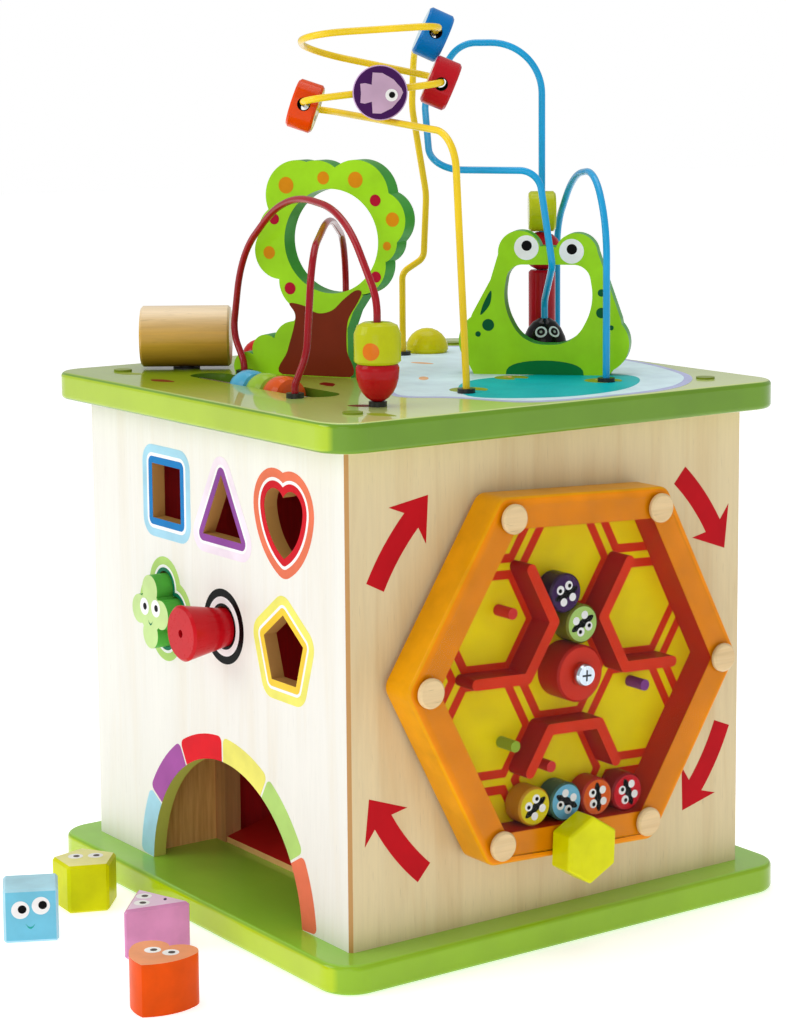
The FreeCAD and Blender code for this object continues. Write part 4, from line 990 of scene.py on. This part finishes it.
# -------- deck
def deck_prints():
    """A pond over the maze corner of the deck, with a shaded pool, lily pads and a few small leaves."""
    pond = closed([(164, 30), (154, -22), (112, -44), (86, -66), (44, -44), (-12, -2), (-66, 26), (-122, 78),
                   (-112, 130), (-50, 156), (30, 162), (98, 144), (134, 120), (158, 82)])
    middle_of_pond, rim_growth, rim_reach = Vector((30, 52)), 1.045, 168
    rim = [middle_of_pond + (Vector(point) - middle_of_pond) * rim_growth for point in pond]
    flat("pond_rim", [[(min(x, rim_reach), min(y, rim_reach)) for x, y in rim]], DECK_FACE, "lavender")
    flat("pond", [pond], DECK_FACE, "ice", layer=1)
    pool = closed([(121, -36), (74, -14), (50, 22), (60, 78), (92, 108), (124, 92), (150, 52), (152, 2)])
    flat("pool", [pool], DECK_FACE, "puddle", layer=2)
    petals = [(0, 0, 1.2), (2, 0, 1.4), (-1, 1.7, 1.4), (-1, -1.7, 1.4)]
    for i, (x, y, radius) in enumerate(((57, 41, 11), (106, 77, 12), (90, -18, 12))):
        pad = arc(x, y, radius, 25, 335, 30) + [(x + radius * 0.25, y)]
        flat("lily_pad_%d" % i, [pad], DECK_FACE, "olive", layer=3)
        flat("lily_flower_%d" % i, [union_outline(x - 3, y, petals, 36)], DECK_FACE, "peach", layer=4)
    for i, (x, y, lean) in enumerate(((-47, 45, 20), (24, -5, -35), (-20, 100, 60))):
        flat("carp_%d" % i, [oval(x, y, 9, 3.2, 24, lean)], DECK_FACE, "peach", layer=2)
    leaf = [(-10, 0), (-1.5, 4.8), (11, 0), (-1.5, -4.8)]
    for i, (x, y, lean, colour) in enumerate((
            (-73, -143, 15, "crimson"), (10, -70, -20, "crimson"), (111, -111, 50, "crimson"),
            (150, -126, 20, "olive"), (-120, -140, 35, "olive"), (-140, 20, 70, "olive"))):
        flat("leaf_%d" % i, [closed(turned(leaf, x, y, lean))], DECK_FACE, colour)


TREE_FACE = standing_face(-24.2, -39.6, TREE_TURN)
TREE_BACK = TREE_FACE @ Matrix.Translation((0, 0, -2 * BOARD_HALF * MM)) @ Matrix.Diagonal((-1, 1, -1, 1))
FROG_FACE = standing_face(53.5, 73, FROG_TURN)


def tree_prints():
    """A brown trunk with a forked top, and round fruit about the crown; the back has the same."""
    left = [(-36.6, 0.4), (-32.6, 15.6), (-27.6, 31.7), (-26.6, 40.4), (-30.6, 47.2)]
    top = [(-20.4, 46.0), (-13.2, 42.3), (-6.9, 41.4), (1.1, 44.0), (9.1, 51.2), (17.1, 56.8), (21.6, 56.2)]
    right = [(19.4, 50.2), (14.0, 41.8), (11.6, 36.6), (10.6, 28.8), (10.8, 17.4), (12.8, 0.4)]
    fruit = [(-32, 124, 5.4, "fruit"), (-5, 129, 4.2, "fruit"), (18, 128, 5.2, "fruit"),
             (32, 115, 3.8, "berry"), (44, 103, 4.6, "fruit"), (40, 86, 2.8, "fruit"),
             (32, 66, 3.6, "berry"), (-45, 80, 4.2, "fruit"), (-30, 57, 4.0, "berry"),
             (-41, 102, 3.6, "berry")]
    trunk = [(x, max(y, 0.3)) for x, y in closed(left + top + right)]
    for side, face, flip in (("front", TREE_FACE, 1), ("back", TREE_BACK, -1)):
        flat("trunk_" + side, [[(x * flip, y) for x, y in trunk]], face, "trunk")
        for i, (x, y, radius, colour) in enumerate(fruit):
            flat("fruit_%s_%d" % (side, i), [circle(x * flip, y, radius, 28)], face, colour)


def frog_prints():
    """Two wide eyes, a pointed spot, round spots and a dark belly along the deck."""
    for i, x, y in ((0, -12.4, 83), (1, 17, 80.8)):
        eye("frog_eye_%d" % i, FROG_FACE, "cube", x, y, 8, (0.2, 1.3), 0, 0.42)
    leaf = [(-42.5, 39), (-40.4, 47), (-35.6, 55), (-36.4, 46)]
    flat("frog_leaf", [closed(leaf)], FROG_FACE, "spot")
    spots = (-37.5, 32.5, 3.9), (-44.2, 26.5, 1.8), (36.4, 54, 2.4), (36.4, 41, 3.4), (42.8, 31.5, 1.6)
    for i, (x, y, radius) in enumerate(spots):
        flat("frog_spot_%d" % i, [circle(x, y, radius, 28)], FROG_FACE, "spot")
    left, half, low, high, steps = -26, 25.5, 0.3, 9.4, 16
    turns = [math.pi * i / steps for i in range(steps + 1)]
    belly = [(left + half * (1 - math.cos(t)), low + high * math.sin(t) ** 0.7) for t in turns]
    flat("frog_belly", [belly], FROG_FACE, "belly")


def fish_print():
    """A round plum face with a lilac fish, its nose to the right."""
    face = bead_face("disc_fish", *WIRED["disc_fish"])
    flat("fish_ground", [circle(0, 0, 16.6, 56)], face, "plum", "disc_fish")
    body = [(-4.6, 12.6), (1.5, 12.2), (8.5, 8.2), (13.4, 2.6), (14.4, 0), (12.8, -3.6), (7.5, -9.6),
            (0.5, -13), (-4.8, -12.8), (-5.2, -5.6), (-9.8, -6.8), (-12.4, -6.2), (-12.0, -0.2),
            (-12.4, 5.6), (-9.4, 6.0), (-5.2, 5.0)]
    flat("fish_body", [body], face, "mauve", "disc_fish", 1)
    eye("fish_eye", face, "disc_fish", 7.2, -1.6, 3.9, (0.3, 0.2), 2, 0.5)


def disc_prints():
    """A ring, one eye and a smile on the face of each plain disc."""
    for node, colour in (("disc_orange", "yellow"), ("disc_red", "coral"), ("disc_blue", "pale_blue")):
        face = bead_face(node, *WIRED[node])
        flat(node + "_ring", [circle(0, 0, 13.6, 48), circle(0, 0, 12.4, 48)], face, colour, node)
        eye(node + "_eye", face, node, 0, 4.4, 3.0, (0, 0.3), 0, 0.5)
        smile(node + "_smile", face, node, 0, -3.4, 4.2, 3.0, "black", 0, 0.7)


def block_prints():
    """Eyes on each block but the round one, and a small smile on three of them."""
    def top(node):
        return plane(middle(node) + Vector((0, 0, LOOSE_HALF * MM)), LEVEL, -TOWARD)

    face = plane(middle("block_square") + outward(SQUARE_TURN) * LOOSE_HALF * MM, sideways(SQUARE_TURN), UP)
    eye("square_eye_0", face, "block_square", -6.4, 4.0, 5.6, (1.1, 0.4), 0, 0.47)
    eye("square_eye_1", face, "block_square", 6.2, 6.2, 5.6, (1.1, 0.4), 0, 0.47)
    smile("square_smile", face, "block_square", -0.4, -5.0, 2.9, 2.6, "teal", 0, 0.55)
    for node, x, y, line, spread in (
            ("block_pentagon", -1.4, 3, (1, 0.12), 6.4), ("block_triangle", -1.2, -0.4, (0, 1), 6.4),
            ("block_heart", 1.4, -0.6, (1, -0.4), 5.8)):
        apart = Vector(line).normalized() * spread
        for i, side in enumerate((-1, 1)):
            eye("%s_eye_%d" % (node, i), top(node), node, x + side * apart.x, y + side * apart.y, 4.9,
                (0.6, 0), 0, 0.42, "smoke")
    flat("triangle_smile", [oval(12.4, -0.1, 1.0, 2.0, 20)], top("block_triangle"), "plum", "block_triangle")
    flower = plane((0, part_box("block_flower")[0].y, 0), (1, 0, 0), UP)
    for i, (x, z) in enumerate(((-64, 191), (-49.6, 191.8))):
        eye("flower_eye_%d" % i, flower, "block_flower", x, z, 5.6, (0.8, 0.2), 0, 0.4)
    smile("flower_smile", flower, "block_flower", -56.6, 182.5, 2.6, 2.2, "forest", 0, 0.5)


# pieces with curves of their own, and how sharp an edge may be, in degrees, and still be one of them
SOFT_EDGE = 42
TURNED_OR_BENT = [node for node in NODES if node.endswith(("_dome", "_wire"))
                  or node.startswith(("bead_", "acorn_", "barrel_", "disc_", "crawler_"))]
TURNED_OR_BENT += ["block_round", "maze_hub", "maze_caps", "maze_knob", "maze_pegs", "maze_bolt",
                   "wire_ferrules"]

studio()
box_finishes()
wheel_finishes()
top_finishes()
block_finishes()
smooth(SOFT_EDGE, TURNED_OR_BENT)
sorter_prints()
doorway_prints()
arrow_prints()
comb_prints()
frame_lining()
puck_prints()
bolt_detail()
deck_prints()
tree_prints()
frog_prints()
fish_print()
disc_prints()
block_prints()
